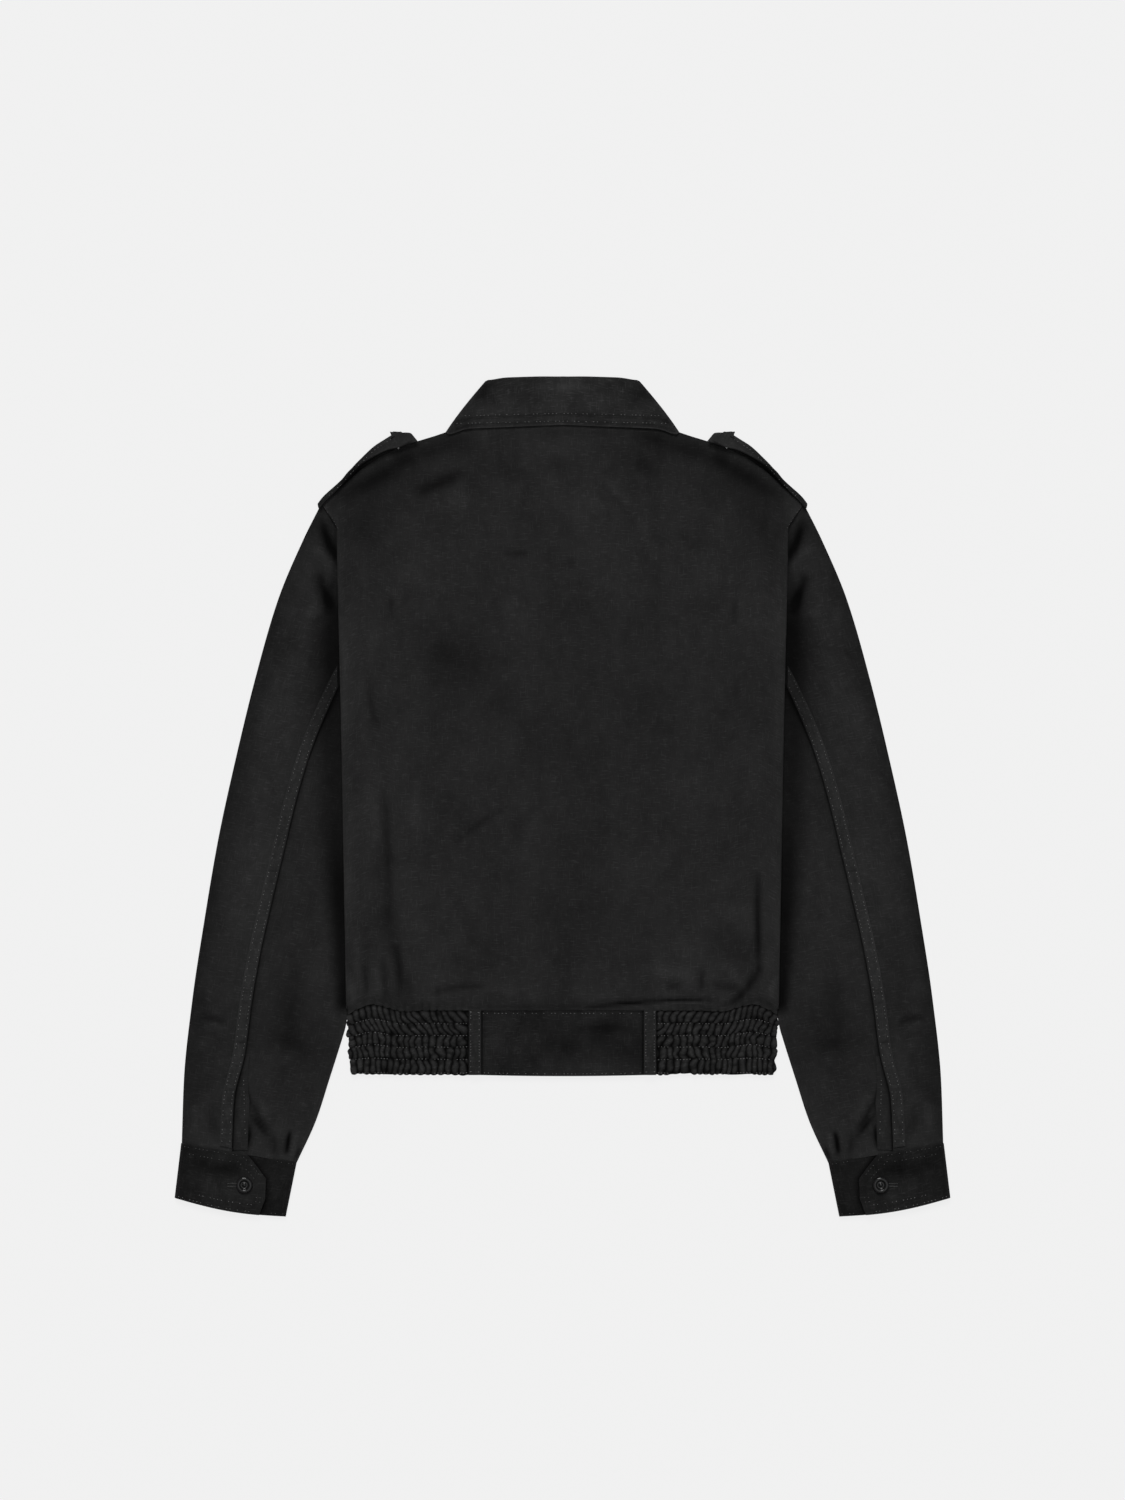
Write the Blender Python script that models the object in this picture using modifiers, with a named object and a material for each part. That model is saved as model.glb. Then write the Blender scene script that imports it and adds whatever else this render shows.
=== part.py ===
"""Officer jacket laid flat, back up, with its front on the surface.

Frame: +Z up, +Y towards the collar, origin at the middle of the underside. Sizes below are in
millimetres and become metres when a mesh is made. Each piece is worked out for the +X side
and mirrored for the other; "left" is the -X side, which is also the wearer's left.
"""

import math
from collections import namedtuple

import bmesh
import bpy
from mathutils import Vector

MM = 0.001
COLLECTION = "officer_jacket"

# Walls and the clear heights between them.
CLOTH = 1.2            # one layer of cloth
DOUBLE = 1.6           # collar fall and shoulder strap: two layers, interfaced
CUFF_WALL = 1.8        # cuff: two layers and the seam allowances between them
BAND_WALL = 1.4        # lower waistband
BAND_BACK_WALL = 1.8   # centre-back waistband
TRIM_WALL = 0.9        # felled seam and vent placket
STRIP_WALL = 1.2       # narrow strips on the waistband
SEAM = 0.3             # between pieces that are sewn together
EASE = 0.4             # between layers that lie on each other

# Levels of the walls' middle surfaces, from the surface that the jacket lies on.
FLOOR_LEVEL = CLOTH / 2
SLEEVE_LEVEL = CLOTH + 0.8 + CLOTH / 2
WRAP_LEVEL = SLEEVE_LEVEL + CLOTH + EASE
BODY_EDGE_LEVEL = WRAP_LEVEL + 2.2
BODY_LEVEL = 5.6
RAISED = DOUBLE + SEAM                     # the fronts' lift over collar points and straps
SHOULDER_LEVEL = RAISED + CLOTH + SEAM + CLOTH / 2
HEM_LEVEL = 4.2
SLEEVE_LOFT = 2.8      # how far a sleeve's upper layer swells between its edges
SWELL_START = 10.0     # a sleeve swells from this far beside the back's edge
BLOUSE_LOFT = 1.0      # how far the back blouses above the waistband
BLOUSE_RISE = (10.0, 45.0)     # heights over the hem where it is fullest and where it is gone
HEM_RAMP = (-2.0, 11.0)        # heights over the hem between the band's level and the body's
SHOULDER_RAMP = 25.0   # the back sinks to the shoulder seam's level over this width
SHOULDER_COSINE = 0.84 # width square to the shoulder seam for each millimetre down from it

# Body.
HEM_UP = -201.0        # seam between body and waistband
SHOULDER_POINT = (228.0, 277.5)
NECK_SIDE = (107.0, 350.0)
FRONT_NECK_DROP = 50.0
FRONT_OVERLAP = 18.0   # each front passes the centre line by this much
ARMPIT_UP = 35.0

# Heights up the body's side where every piece has a row, so that seams match.
STATIONS = (-201.0, -190.0, -170.0, -135.0, -98.0, -60.0, -22.0, 10.0, 35.0, 60.0, 90.0, 120.0,
            150.0, 172.0, 195.0, 218.0, 236.0, 250.0, 262.0, 271.0, 277.5)
SLEEVE_FOOT_STATIONS = (-328.0, -309.0, -286.0, -259.0, -231.0, -215.0)
UNDER_SLEEVE_TOP = 172.0

Side = namedtuple("Side", "up out")
Line = namedtuple("Line", "out up")

# Sleeve's outer fold, seen from above.
SLEEVE_OUTER = (
    Side(-328.0, 361.5), Side(-269.0, 359.5), Side(-193.0, 351.5), Side(-117.0, 340.0),
    Side(-41.0, 327.0), Side(35.0, 310.5), Side(111.0, 292.0), Side(187.0, 270.0),
    Side(244.0, 246.0), Side(273.5, 231.3),
)
# Armhole from the shoulder to the armpit, then the arm's inner edge down to the cuff.
ARM_INNER = (
    Side(-346.0, 251.5), Side(-307.0, 233.7), Side(-269.0, 221.4), Side(-231.0, 210.0),
    Side(-201.0, 204.7), Side(-165.0, 192.4), Side(-98.0, 172.4), Side(-51.0, 161.5),
    Side(0.0, 156.3), Side(35.0, 156.3), Side(73.0, 159.0), Side(111.0, 164.8),
    Side(149.0, 173.4), Side(187.0, 184.8), Side(225.0, 200.0), Side(254.0, 214.2),
    Side(277.5, 228.0),
)
# The back's visible side edge, where it folds over the sleeve.
BODY_SIDE = (
    Side(-201.0, 205.2), Side(-98.0, 207.1), Side(35.0, 209.5), Side(92.0, 210.7),
    Side(177.0, 212.8), Side(225.0, 213.8), Side(254.0, 214.2), Side(264.5, 219.9),
    Side(277.5, 228.0),
)
# Back neckline and shoulder seam.
BACK_TOP = (
    Line(0.0, 359.6), Line(60.0, 357.5), Line(107.0, 350.0), Line(116.0, 347.7),
    Line(122.0, 342.5), Line(137.3, 338.6), Line(154.4, 332.5), Line(173.4, 322.5),
    Line(192.4, 309.8), Line(211.4, 292.8), Line(228.0, 277.5),
)
# Felled seam on the sleeve's back, from the armhole to the cuff.
SLEEVE_SEAM = (
    Side(-346.0, 314.0), Side(-288.0, 311.1), Side(-243.7, 300.7), Side(-193.3, 294.0),
    Side(-145.8, 285.5), Side(-103.0, 276.0), Side(-50.8, 263.6), Side(-3.3, 252.2),
    Side(44.2, 238.0), Side(105.0, 212.3), Side(140.0, 194.0), Side(172.0, 183.0),
)

# The back's side fold: its arc in steps, then its last points beneath, as distances past the
# armhole or seam edge above and below the armpit, and their drop below it.
SIDE_STEPS = 4
FLAT_TURN = 0.01       # a fold of less than this angle counts as flat
NO_FOLD_REACH = 0.15   # spacing of the last points where the side doesn't turn under
SideEnd = namedtuple("SideEnd", "above_pit below_pit drop")
SIDE_ENDS = (SideEnd(3.0, 1.5, 0.0), SideEnd(1.5, -2.5, 1.0), SideEnd(0.2, -6.5, 2.1))
SIDE_FOLD_SPAN = (250.0, 276.0)        # heights between which the fold opens out to flat

# The under sleeve's last points at the arm's inner edge: flat above the armpit, turned down below.
LipPoint = namedtuple("LipPoint", "flat_out turned_out turned_drop")
UNDER_SLEEVE_LIP = (
    LipPoint(1.25, 1.25, 0.0), LipPoint(0.9, 0.9, 0.15), LipPoint(0.6, 0.75, 0.5),
    LipPoint(0.3, 0.75, 1.05),
)
ARMPIT_BLEND = 25.0    # the change from above to below the armpit takes this much each way

# Columns of the grids, as distances from the centre line at the top edge.
BACK_COLUMNS = (0.0, 36.0, 72.0, 107.0, 116.0, 122.0, 137.3, 160.0, 185.0, 207.0)
FRONT_COLUMNS = (107.0, 119.0, 137.3, 163.9, 192.4, 228.0)
FRONT_STILL = 60.0     # columns nearer the centre than this stay upright
NECK_ANGLES = (89.0, 75.0, 60.0, 45.0, 30.0, 15.0)

# Collar, laid as a flattened ring: back on top, points beneath.
COLLAR_TOP = 398.5
FALL_FOLD = (Vector((71.7, 398.5)), Vector((109.7, 352.0)))     # side fold: roll, outer edge
FALL_FRONT = (Vector((6.0, 327.0)), Vector((45.0, 277.0)))      # front end: roll, point
FALL_BACK_DROP = 352.0
FALL_LEVELS = (DOUBLE / 2, 6.1)
STAND_FOLD = (Vector((63.5, 388.0)), Vector((106.6, 352.2)))
STAND_FRONT_TOP = Vector((6.0, 322.0))
STAND_LEVELS = (RAISED + CLOTH / 2, 4.1)
STAND_NECK_GAP = 0.5   # between the stand's foot and the front neckline
STAND_SEAM_UP = 0.6    # the stand's foot laps the neckline by this much
ROLL_RADIUS = 1.0
ROLL_TURNS = (50.0, 90.0)      # degrees of the fall's roll at its lip
FOLD_TURNS = (45.0, 90.0, 135.0)       # degrees round a half-circle fold, ends left out

# Shoulder strap in its own directions: along the shoulder from STRAP_START, out from it.
STRAP_START = Vector((135.0, 337.3))
STRAP_ALONG = Vector((0.847, -0.531))
STRAP_OUT = Vector((0.531, 0.847))
STRAP_LEVEL = 6.6
STRAP_LIFT = 2.6
Strap = namedtuple("Strap", "along near fold under")
STRAP_ROWS = (
    Strap(4.0, 5.0, 13.5, 3.0), Strap(16.0, 4.8, 19.4, 0.0), Strap(35.0, 6.8, 19.4, -6.0),
    Strap(58.0, 5.6, 15.6, -12.0), Strap(85.0, 0.6, 8.2, -18.0), Strap(105.0, -1.6, 4.9, -22.0),
    Strap(112.0, -2.5, 2.4, -22.0),
)
StrapColumn = namedtuple("StrapColumn", "share start end")
STRAP_UPPER = (
    StrapColumn(0.0, 11.0, 112.0), StrapColumn(0.38, 4.0, 112.0), StrapColumn(0.7, 9.5, 112.0),
)
STRAP_FOLD_SPAN = (16.0, 112.0)
STRAP_END_SLANT = 4.5
STRAP_UNDER = (StrapColumn(0.5, 20.0, 106.0), StrapColumn(1.0, 26.0, 104.0))

# Cuff: outer and inner ends of its top and bottom edges, and the end of its tab.
CUFF_OUTER = (Vector((361.9, -328.9)), Vector((368.1, -380.5)))
CUFF_INNER = (Vector((252.2, -346.6)), Vector((262.7, -398.5)))
CUFF_BULGE = 4.0
CUFF_FLOOR_LEVEL = CUFF_WALL / 2
CUFF_UNDER_LEVEL = 3.3
CUFF_TAB_LEVEL = 5.5
CUFF_UNDER_END = 46.0
TabRow = namedtuple("TabRow", "down end")
CUFF_TAB = (
    TabRow(0.0, 63.5), TabRow(0.18, 74.0), TabRow(0.37, 84.0), TabRow(0.72, 85.5),
    TabRow(1.0, 81.5),
)
BUTTON_AT = Vector((301.6, -368.1))
BUTTON_STEPS = 20
ButtonRow = namedtuple("ButtonRow", "radius up")
BUTTON_PROFILE = (
    ButtonRow(0.0, 1.5), ButtonRow(4.2, 1.5), ButtonRow(5.0, 2.9), ButtonRow(6.5, 3.2),
    ButtonRow(7.8, 2.3), ButtonRow(7.8, 1.0), ButtonRow(7.0, 0.0), ButtonRow(0.0, 0.0),
)

# Felled seam and vent placket, as offsets from the sleeve seam.
FELL_WIDTH = 9.5
FELL_TOP_INNER = 104.0
FELL_TOP_OUTER = 124.0
SLEEVE_FOOT = -333.0
VENT_TOP = -246.0
VENT_WIDTH = 14.0

# Waistband.
BAND_TOP = HEM_UP - SEAM
BAND_BACK_FOOT = -265.2
BAND_SIDE_FOOT = -262.0
BAND_BACK_HALF = 82.9
BAND_BACK_LEVEL = 4.4
BAND_SIDE_END = 203.0
BAND_SIDE_PLAIN = 91.0       # ridges start here, past the strip
BAND_FRONT_END = 150.0
BAND_FRONT_OVERLAP = 15.0
BAND_FRONT_STEP = (17.0, 28.0)       # the upper front comes down to the floor between these
BAND_BACK_SAG = 1.2          # the centre-back foot bows down by this much
BAND_SIDE_SAG = 1.6          # and each ridge's foot by this much
BAND_INSIDE = 2.6            # plain inner face of the upper layer
BAND_OUTSIDE = 4.2           # its outer face between the ridges
STRIP_SPAN = (77.2, 88.8)
STRIP_LEVEL = 6.2
STRIP_FOOT = -264.0
GATHERS = 24
GATHER_HEIGHT = 2.0
GATHER_SPACING = (6.2, 3.7)  # next to the strip, next to the side
Channel = namedtuple("Channel", "down swell")
CHANNELS = (
    Channel(0.0, 0.55), Channel(0.10, 1.0), Channel(0.21, 0.3), Channel(0.31, 1.0),
    Channel(0.41, 0.3), Channel(0.515, 1.0), Channel(0.62, 0.3), Channel(0.72, 1.0),
    Channel(0.82, 0.3), Channel(0.92, 0.8), Channel(1.0, 0.45),
)

COTTON = (0.017, 0.017, 0.017, 1.0)
COTTON_DARK = (0.014, 0.014, 0.014, 1.0)
BUTTON_BLACK = (0.006, 0.006, 0.006, 1.0)


def ease(low, high, value):
    """Rise smoothly from 0 at low to 1 at high."""
    part = min(max((value - low) / (high - low), 0.0), 1.0)
    return part * part * (3.0 - 2.0 * part)


def mix(start, end, part):
    """Stand between start and end."""
    return start + (end - start) * part


def spread(start, end, count):
    """Return count values evenly from start to end, both included."""
    return [mix(start, end, step / (count - 1)) for step in range(count)]


def curve(rows):
    """Return a smooth function through (key, value) rows that never overshoots them."""
    keys = [row[0] for row in rows]
    values = [row[1] for row in rows]
    count = len(rows)
    slopes = [(values[i + 1] - values[i]) / (keys[i + 1] - keys[i]) for i in range(count - 1)]
    tangents = [slopes[0]]
    for before, after in zip(slopes, slopes[1:]):
        level = before * after <= 0.0
        tangents.append(0.0 if level else 2.0 * before * after / (before + after))
    tangents.append(slopes[-1])

    def read(key):
        key = min(max(key, keys[0]), keys[-1])
        index = max(i for i in range(count - 1) if keys[i] <= key)
        span = keys[index + 1] - keys[index]
        part = (key - keys[index]) / span
        rise = part * part * (3.0 - 2.0 * part)
        start = part * (1.0 - part) ** 2 * span * tangents[index]
        end = part * part * (part - 1.0) * span * tangents[index + 1]
        return mix(values[index], values[index + 1], rise) + start + end

    return read


sleeve_outer = curve(SLEEVE_OUTER)
arm_inner = curve(ARM_INNER)
body_side = curve(BODY_SIDE)
sleeve_seam = curve(SLEEVE_SEAM)


def back_top(out):
    """Return how far up the back neckline or shoulder seam lies, straight between its rows."""
    for start, end in zip(BACK_TOP, BACK_TOP[1:]):
        if out <= end.out:
            return mix(start.up, end.up, (out - start.out) / (end.out - start.out))
    return BACK_TOP[-1].up


def strap_offset(out, up):
    """Return how far a point lies out from the shoulder's chord; negative is on the body."""
    return (Vector((out, up)) - STRAP_START).dot(STRAP_OUT)


def add_object(name, mesh, colour, roughness):
    """Link a mesh as a named object with its own material."""
    material = bpy.data.materials.new(name)
    material.use_nodes = True
    shader = material.node_tree.nodes["Principled BSDF"]
    shader.inputs["Base Color"].default_value = colour
    shader.inputs["Roughness"].default_value = roughness
    shader.inputs["Metallic"].default_value = 0.0
    mesh.materials.append(material)
    mesh.shade_smooth()
    mesh.set_sharp_from_angle(angle=math.radians(40.0))
    item = bpy.data.objects.new(name, mesh)
    bpy.data.collections[COLLECTION].objects.link(item)
    return item


def add_wall(name, rows, wall, colour=COTTON):
    """Make a cloth wall round a grid of middle-surface points, given in millimetres."""
    columns = len(rows[0])
    grid = bmesh.new()
    bmesh.ops.create_grid(grid, x_segments=columns - 1, y_segments=len(rows) - 1, size=1.0)
    places = sorted(grid.verts, key=lambda vert: (round(vert.co.y, 4), round(vert.co.x, 4)))
    points = [point for row in rows for point in row]
    for vert, point in zip(places, points):
        vert.co = Vector(point) * MM
    mesh = bpy.data.meshes.new(name)
    grid.to_mesh(mesh)
    grid.free()
    item = add_object(name, mesh, colour, 0.95)
    shell = item.modifiers.new("wall", "SOLIDIFY")
    shell.thickness = wall * MM
    shell.offset = 0.0
    shell.use_even_offset = True
    return item


def mirrored(rows, side):
    """Return the rows on the side asked for: 1 is +X and -1 is -X."""
    return [[(side * x, y, z) for x, y, z in row] for row in rows]


def add_pair(stem, rows, wall, colour=COTTON):
    """Make a piece of the +X side and its mirror image."""
    for side, word in ((1, "right"), (-1, "left")):
        add_wall(f"{stem}_{word}", mirrored(rows, side), wall, colour)


def both_sides(half):
    """Join a half row, from the centre outwards, to its mirror image."""
    other = [(-x, y, z) for x, y, z in reversed(half[1:])]
    return other + half


# Body


def station_share(up):
    """Return a side station's share of the way from the hem to the shoulder point."""
    return (up - HEM_UP) / (SHOULDER_POINT[1] - HEM_UP)


def back_level(out, up):
    """Return the middle level of the back's upper layer."""
    over_sleeve = ease(-18.0, -1.0, out - arm_inner(up))
    level = mix(BODY_LEVEL, BODY_EDGE_LEVEL, over_sleeve)
    above_hem = up - HEM_UP
    if out < BAND_SIDE_END - 8.0:
        blouse = ease(0.0, BLOUSE_RISE[0], above_hem) * (1.0 - ease(*BLOUSE_RISE, above_hem))
        level = mix(HEM_LEVEL, level + BLOUSE_LOFT * blouse, ease(*HEM_RAMP, above_hem))
    below_shoulder = (back_top(out) - up) * SHOULDER_COSINE
    return mix(SHOULDER_LEVEL, level, ease(0.0, SHOULDER_RAMP, below_shoulder))


def side_turn(up):
    """Return the back's side fold at a height: its angle and its arc's length."""
    folded = 1.0 - ease(*SIDE_FOLD_SPAN, up)
    arc = mix(1.0, math.pi * (BODY_EDGE_LEVEL - WRAP_LEVEL) / 2, folded)
    return math.pi * folded, arc


def below_armpit(up):
    """Return 0 well above the armpit and 1 well below it."""
    return 1.0 - ease(ARMPIT_UP - ARMPIT_BLEND, ARMPIT_UP + ARMPIT_BLEND, up)


def back_side(up):
    """Return the back's points from its side edge round to the seam beneath."""
    side = body_side(up)
    angle, arc = side_turn(up)
    radius = arc / max(angle, FLAT_TURN)
    quarter = min(angle, math.pi / 2)
    start = side - (radius + CLOTH / 2) * math.sin(quarter)
    if angle < 2 * FLAT_TURN:
        start = side - arc
    level = back_level(start, up)
    points = [(start, up, level)]
    for step in range(1, SIDE_STEPS + 1):
        turn = max(angle, FLAT_TURN) * step / SIDE_STEPS
        points.append((start + radius * math.sin(turn), up, level - radius * (1 - math.cos(turn))))
    last, _, low = points[-1]
    if angle < math.pi - FLAT_TURN:
        for step, _ in enumerate(SIDE_ENDS, start=1):
            reach = NO_FOLD_REACH * step
            points.append((last + reach * math.cos(angle), up, low - reach * math.sin(angle)))
        return points
    below = below_armpit(up)
    for end in SIDE_ENDS:
        past = mix(end.above_pit, end.below_pit, below)
        last = min(arm_inner(up) + past, last - SEAM)
        points.append((last, up, WRAP_LEVEL - end.drop * below))
    return points


def back_rows():
    """Return the one-piece back with both its sides turned under."""
    rows = []
    for station in STATIONS:
        share = station_share(station)
        side_points = back_side(station)
        half = []
        for column in BACK_COLUMNS:
            up = mix(HEM_UP, back_top(column), share)
            out = column * min(body_side(up) / SHOULDER_POINT[0], 1.0)
            half.append((out, up, back_level(out, up)))
        rows.append(both_sides(half + side_points))
    return rows


def front_lift(out, up):
    """Return how far a front is raised over the collar point and the shoulder strap."""
    point_edge = (FALL_FRONT[1] - FALL_FOLD[1]).normalized()
    outward = Vector((-point_edge.y, point_edge.x))
    front_edge = (FALL_FRONT[0] - FALL_FRONT[1]).normalized()
    frontward = Vector((-front_edge.y, front_edge.x))
    place = Vector((abs(out), up))
    past_edge = (place - FALL_FOLD[1]).dot(outward)
    past_front = (place - FALL_FRONT[1]).dot(frontward)
    over_collar = 1.0 - ease(9.0, 34.0, max(past_edge, past_front))
    over_strap = ease(-40.0, -27.0, strap_offset(abs(out), up))
    return RAISED * max(over_collar, over_strap)


def neck_point(angle, gap=0.0):
    """Return a point of the front neckline, an ellipse below the neck's side points."""
    turn = math.radians(angle)
    out = NECK_SIDE[0] * math.cos(turn)
    up = NECK_SIDE[1] - FRONT_NECK_DROP * math.sin(turn)
    return out, up + gap


def front_top_points():
    """Return the front's top edge from the overlap to the shoulder point, on its own side."""
    beyond = math.degrees(math.acos(FRONT_OVERLAP / NECK_SIDE[0]))
    edge_up = neck_point(beyond)[1]
    centre = [(-FRONT_OVERLAP, edge_up), (0.0, neck_point(90.0)[1]), (FRONT_OVERLAP, edge_up)]
    neck = [neck_point(angle) for angle in NECK_ANGLES[1:]]
    shoulder = [(out, back_top(out)) for out in FRONT_COLUMNS]
    return centre + neck + shoulder


def front_rows(upper):
    """Return a front; the upper one lies on the other at the centre."""
    rows = []
    for station in STATIONS:
        share = station_share(station)
        row = []
        for top_out, top_up in front_top_points():
            up = mix(HEM_UP, top_up, share)
            side = arm_inner(up) - SEAM / 2
            out = top_out
            if top_out > FRONT_STILL:
                share_out = (top_out - FRONT_STILL) / (SHOULDER_POINT[0] - FRONT_STILL)
                out = mix(FRONT_STILL, side, share_out)
            level = FLOOR_LEVEL + front_lift(out, up)
            if upper:
                level += (CLOTH + EASE) * (1.0 - ease(FRONT_OVERLAP + 5.0, FRONT_OVERLAP + 30.0, out))
            row.append((out, up, level))
        rows.append(row)
    return rows


# Sleeves


def sleeve_level(out, up):
    """Return the middle level of a sleeve's upper layer."""
    outer = sleeve_outer(up)
    inner = max(body_side(up) + SWELL_START, arm_inner(up))
    width = max(outer - inner, 1.0)
    share = (outer - out) / width
    swell = ease(0.0, 0.3, share) * ease(0.0, 0.3, 1.0 - share)
    foot = mix(0.6, 1.0, ease(-330.0, -270.0, up))
    return SLEEVE_LEVEL + SLEEVE_LOFT * swell * foot * ease(10.0, 60.0, width)


def sleeve_stations():
    """Return the outer and inner heights of each sleeve row, from cuff to shoulder."""
    rows = []
    for up in SLEEVE_FOOT_STATIONS + STATIONS[:-1]:
        slant = 17.5 * (1.0 - ease(-328.0, -236.0, up))
        rows.append((up, up - slant))
    rows.append((273.8, 275.8))
    return rows


def sleeve_point(outer_up, inner_up, out):
    """Return the plan point of a row that lies a given distance out."""
    outer = sleeve_outer(outer_up)
    inner = arm_inner(inner_up)
    share = (out - inner) / (outer - inner)
    return out, mix(inner_up, outer_up, share)


def seam_out(inner_up, outer_up):
    """Return where a sleeve row crosses the felled seam, or its inner edge above that."""
    if inner_up > UNDER_SLEEVE_TOP:
        return arm_inner(inner_up)
    share = (sleeve_seam(inner_up) - arm_inner(inner_up)) / (
        sleeve_outer(outer_up) - arm_inner(inner_up))
    return sleeve_seam(mix(inner_up, outer_up, share))


def top_sleeve_rows():
    """Return the outer part of a sleeve: over its top, round the fold and all along beneath."""
    radius = (SLEEVE_LEVEL - FLOOR_LEVEL) / 2
    rows = []
    for outer_up, inner_up in sleeve_stations():
        seam = seam_out(inner_up, outer_up) + SEAM / 2
        centre = sleeve_outer(outer_up) - radius - CLOTH / 2
        row = []
        for share in (0.0, 0.12, 0.3, 0.5, 0.7, 0.88, 1.0):
            out, up = sleeve_point(outer_up, inner_up, mix(seam, centre, share))
            row.append((out, up, sleeve_level(out, up) if share < 1.0 else SLEEVE_LEVEL))
        for turn in FOLD_TURNS:
            across = radius * math.sin(math.radians(turn))
            level = radius * math.cos(math.radians(turn)) + (SLEEVE_LEVEL + FLOOR_LEVEL) / 2
            row.append((centre + across, outer_up, level))
        inner = arm_inner(inner_up) + SEAM / 2
        for share in (0.0, 0.5, 1.0):
            out, up = sleeve_point(outer_up, inner_up, mix(centre, inner, share))
            row.append((out, up, FLOOR_LEVEL))
        rows.append(row)
    return rows


def under_sleeve_rows():
    """Return the inner part of a sleeve's back, turned down at the arm's inner edge."""
    lip_start = UNDER_SLEEVE_LIP[0].flat_out
    rows = []
    for outer_up, inner_up in sleeve_stations():
        if inner_up > UNDER_SLEEVE_TOP:
            continue
        seam = seam_out(inner_up, outer_up) - SEAM / 2
        inner = arm_inner(inner_up)
        below = below_armpit(inner_up)
        row = []
        for share in (0.0, 0.25, 0.5, 0.75, 0.93):
            out, up = sleeve_point(outer_up, inner_up, mix(seam, inner + lip_start, share))
            row.append((out, up, sleeve_level(out, up)))
        for lip in UNDER_SLEEVE_LIP:
            out = inner + mix(lip.flat_out, lip.turned_out, below)
            row.append((out, inner_up, SLEEVE_LEVEL - lip.turned_drop * below))
        rows.append(row)
    return rows


def on_sleeve(out, up, wall):
    """Return a point of a trim piece that lies on the sleeve's upper layer."""
    return out, up, sleeve_level(out, up) + CLOTH / 2 + SEAM + wall / 2


def fell_rows():
    """Return the felled seam's strip, from the body's edge to the cuff."""
    rows = []
    for share in spread(0.0, 1.0, 19):
        row = []
        for across in (0.0, 0.5, 1.0):
            top = mix(FELL_TOP_INNER, FELL_TOP_OUTER, across)
            foot = SLEEVE_FOOT + 2.0 * across
            up = mix(foot, top, share)
            row.append(on_sleeve(sleeve_seam(up) + 0.5 + FELL_WIDTH * across, up, TRIM_WALL))
        rows.append(row)
    return rows


def vent_rows():
    """Return the placket below the felled seam's split, on the under sleeve."""
    rows = []
    for share in spread(0.0, 1.0, 7):
        up = mix(SLEEVE_FOOT - 2.0, VENT_TOP, share)
        width = mix(VENT_WIDTH, 4.0, ease(0.45, 1.0, share))
        row = [on_sleeve(sleeve_seam(up) - 0.6 - width * across, up, TRIM_WALL)
               for across in (1.0, 0.5, 0.0)]
        rows.append(row)
    return rows


# Cuffs


def cuff_point(along, down, level):
    """Return a cuff point a distance in from its outer edge, a share down its height."""
    outer = CUFF_OUTER[0].lerp(CUFF_OUTER[1], down)
    inner = CUFF_INNER[0].lerp(CUFF_INNER[1], down)
    width = (inner - outer).length
    place = outer + (inner - outer).normalized() * along
    bulge = CUFF_BULGE * down * math.sin(math.pi * min(max(along / width, 0.0), 1.0))
    return place.x, place.y - bulge, level


def cuff_width(down):
    """Return the cuff's flat width a share down its height."""
    outer = CUFF_OUTER[0].lerp(CUFF_OUTER[1], down)
    inner = CUFF_INNER[0].lerp(CUFF_INNER[1], down)
    return (inner - outer).length


def cuff_rows():
    """Return the cuff: its tab on top, round the outer edge, beneath, and under the tab."""
    outer_radius = (CUFF_TAB_LEVEL - CUFF_FLOOR_LEVEL) / 2
    inner_radius = (CUFF_UNDER_LEVEL - CUFF_FLOOR_LEVEL) / 2
    rows = []
    for tab in reversed(CUFF_TAB):
        start = outer_radius + CUFF_WALL / 2
        end = cuff_width(tab.down) - inner_radius - CUFF_WALL / 2
        row = [cuff_point(mix(tab.end, start, share), tab.down, CUFF_TAB_LEVEL)
               for share in (0.0, 0.1, 0.35, 0.7, 1.0)]
        for turn in FOLD_TURNS:
            across = outer_radius * math.sin(math.radians(turn))
            level = CUFF_FLOOR_LEVEL + outer_radius * (1.0 + math.cos(math.radians(turn)))
            row.append(cuff_point(start - across, tab.down, level))
        row += [cuff_point(mix(start, end, share), tab.down, CUFF_FLOOR_LEVEL)
                for share in (0.0, 0.33, 0.67, 1.0)]
        for turn in FOLD_TURNS:
            across = inner_radius * math.sin(math.radians(turn))
            level = CUFF_FLOOR_LEVEL + inner_radius * (1.0 - math.cos(math.radians(turn)))
            row.append(cuff_point(end + across, tab.down, level))
        row += [cuff_point(mix(end, CUFF_UNDER_END, share), tab.down, CUFF_UNDER_LEVEL)
                for share in (0.0, 0.5, 1.0)]
        rows.append(row)
    return rows


def add_button(name, side):
    """Turn a cuff button with a raised rim round its hollow middle."""
    profile = bmesh.new()
    verts = [profile.verts.new((row.radius * MM, 0.0, row.up * MM)) for row in BUTTON_PROFILE]
    for start, end in zip(verts, verts[1:]):
        profile.edges.new((start, end))
    mesh = bpy.data.meshes.new(name)
    profile.to_mesh(mesh)
    profile.free()
    item = add_object(name, mesh, BUTTON_BLACK, 0.2)
    turned = item.modifiers.new("turned", "SCREW")
    turned.steps = BUTTON_STEPS
    turned.render_steps = BUTTON_STEPS
    turned.use_merge_vertices = True
    turned.merge_threshold = 0.0001
    top = CUFF_TAB_LEVEL + CUFF_WALL / 2 + SEAM
    item.location = Vector((side * BUTTON_AT.x, BUTTON_AT.y, top)) * MM


# Collar


def fold_sideways(fold):
    """Return the plan direction square to a collar's side fold, away from the centre."""
    line = (fold[1] - fold[0]).normalized()
    sideways = Vector((-line.y, line.x))
    return sideways if sideways.x > 0.0 else -sideways


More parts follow.
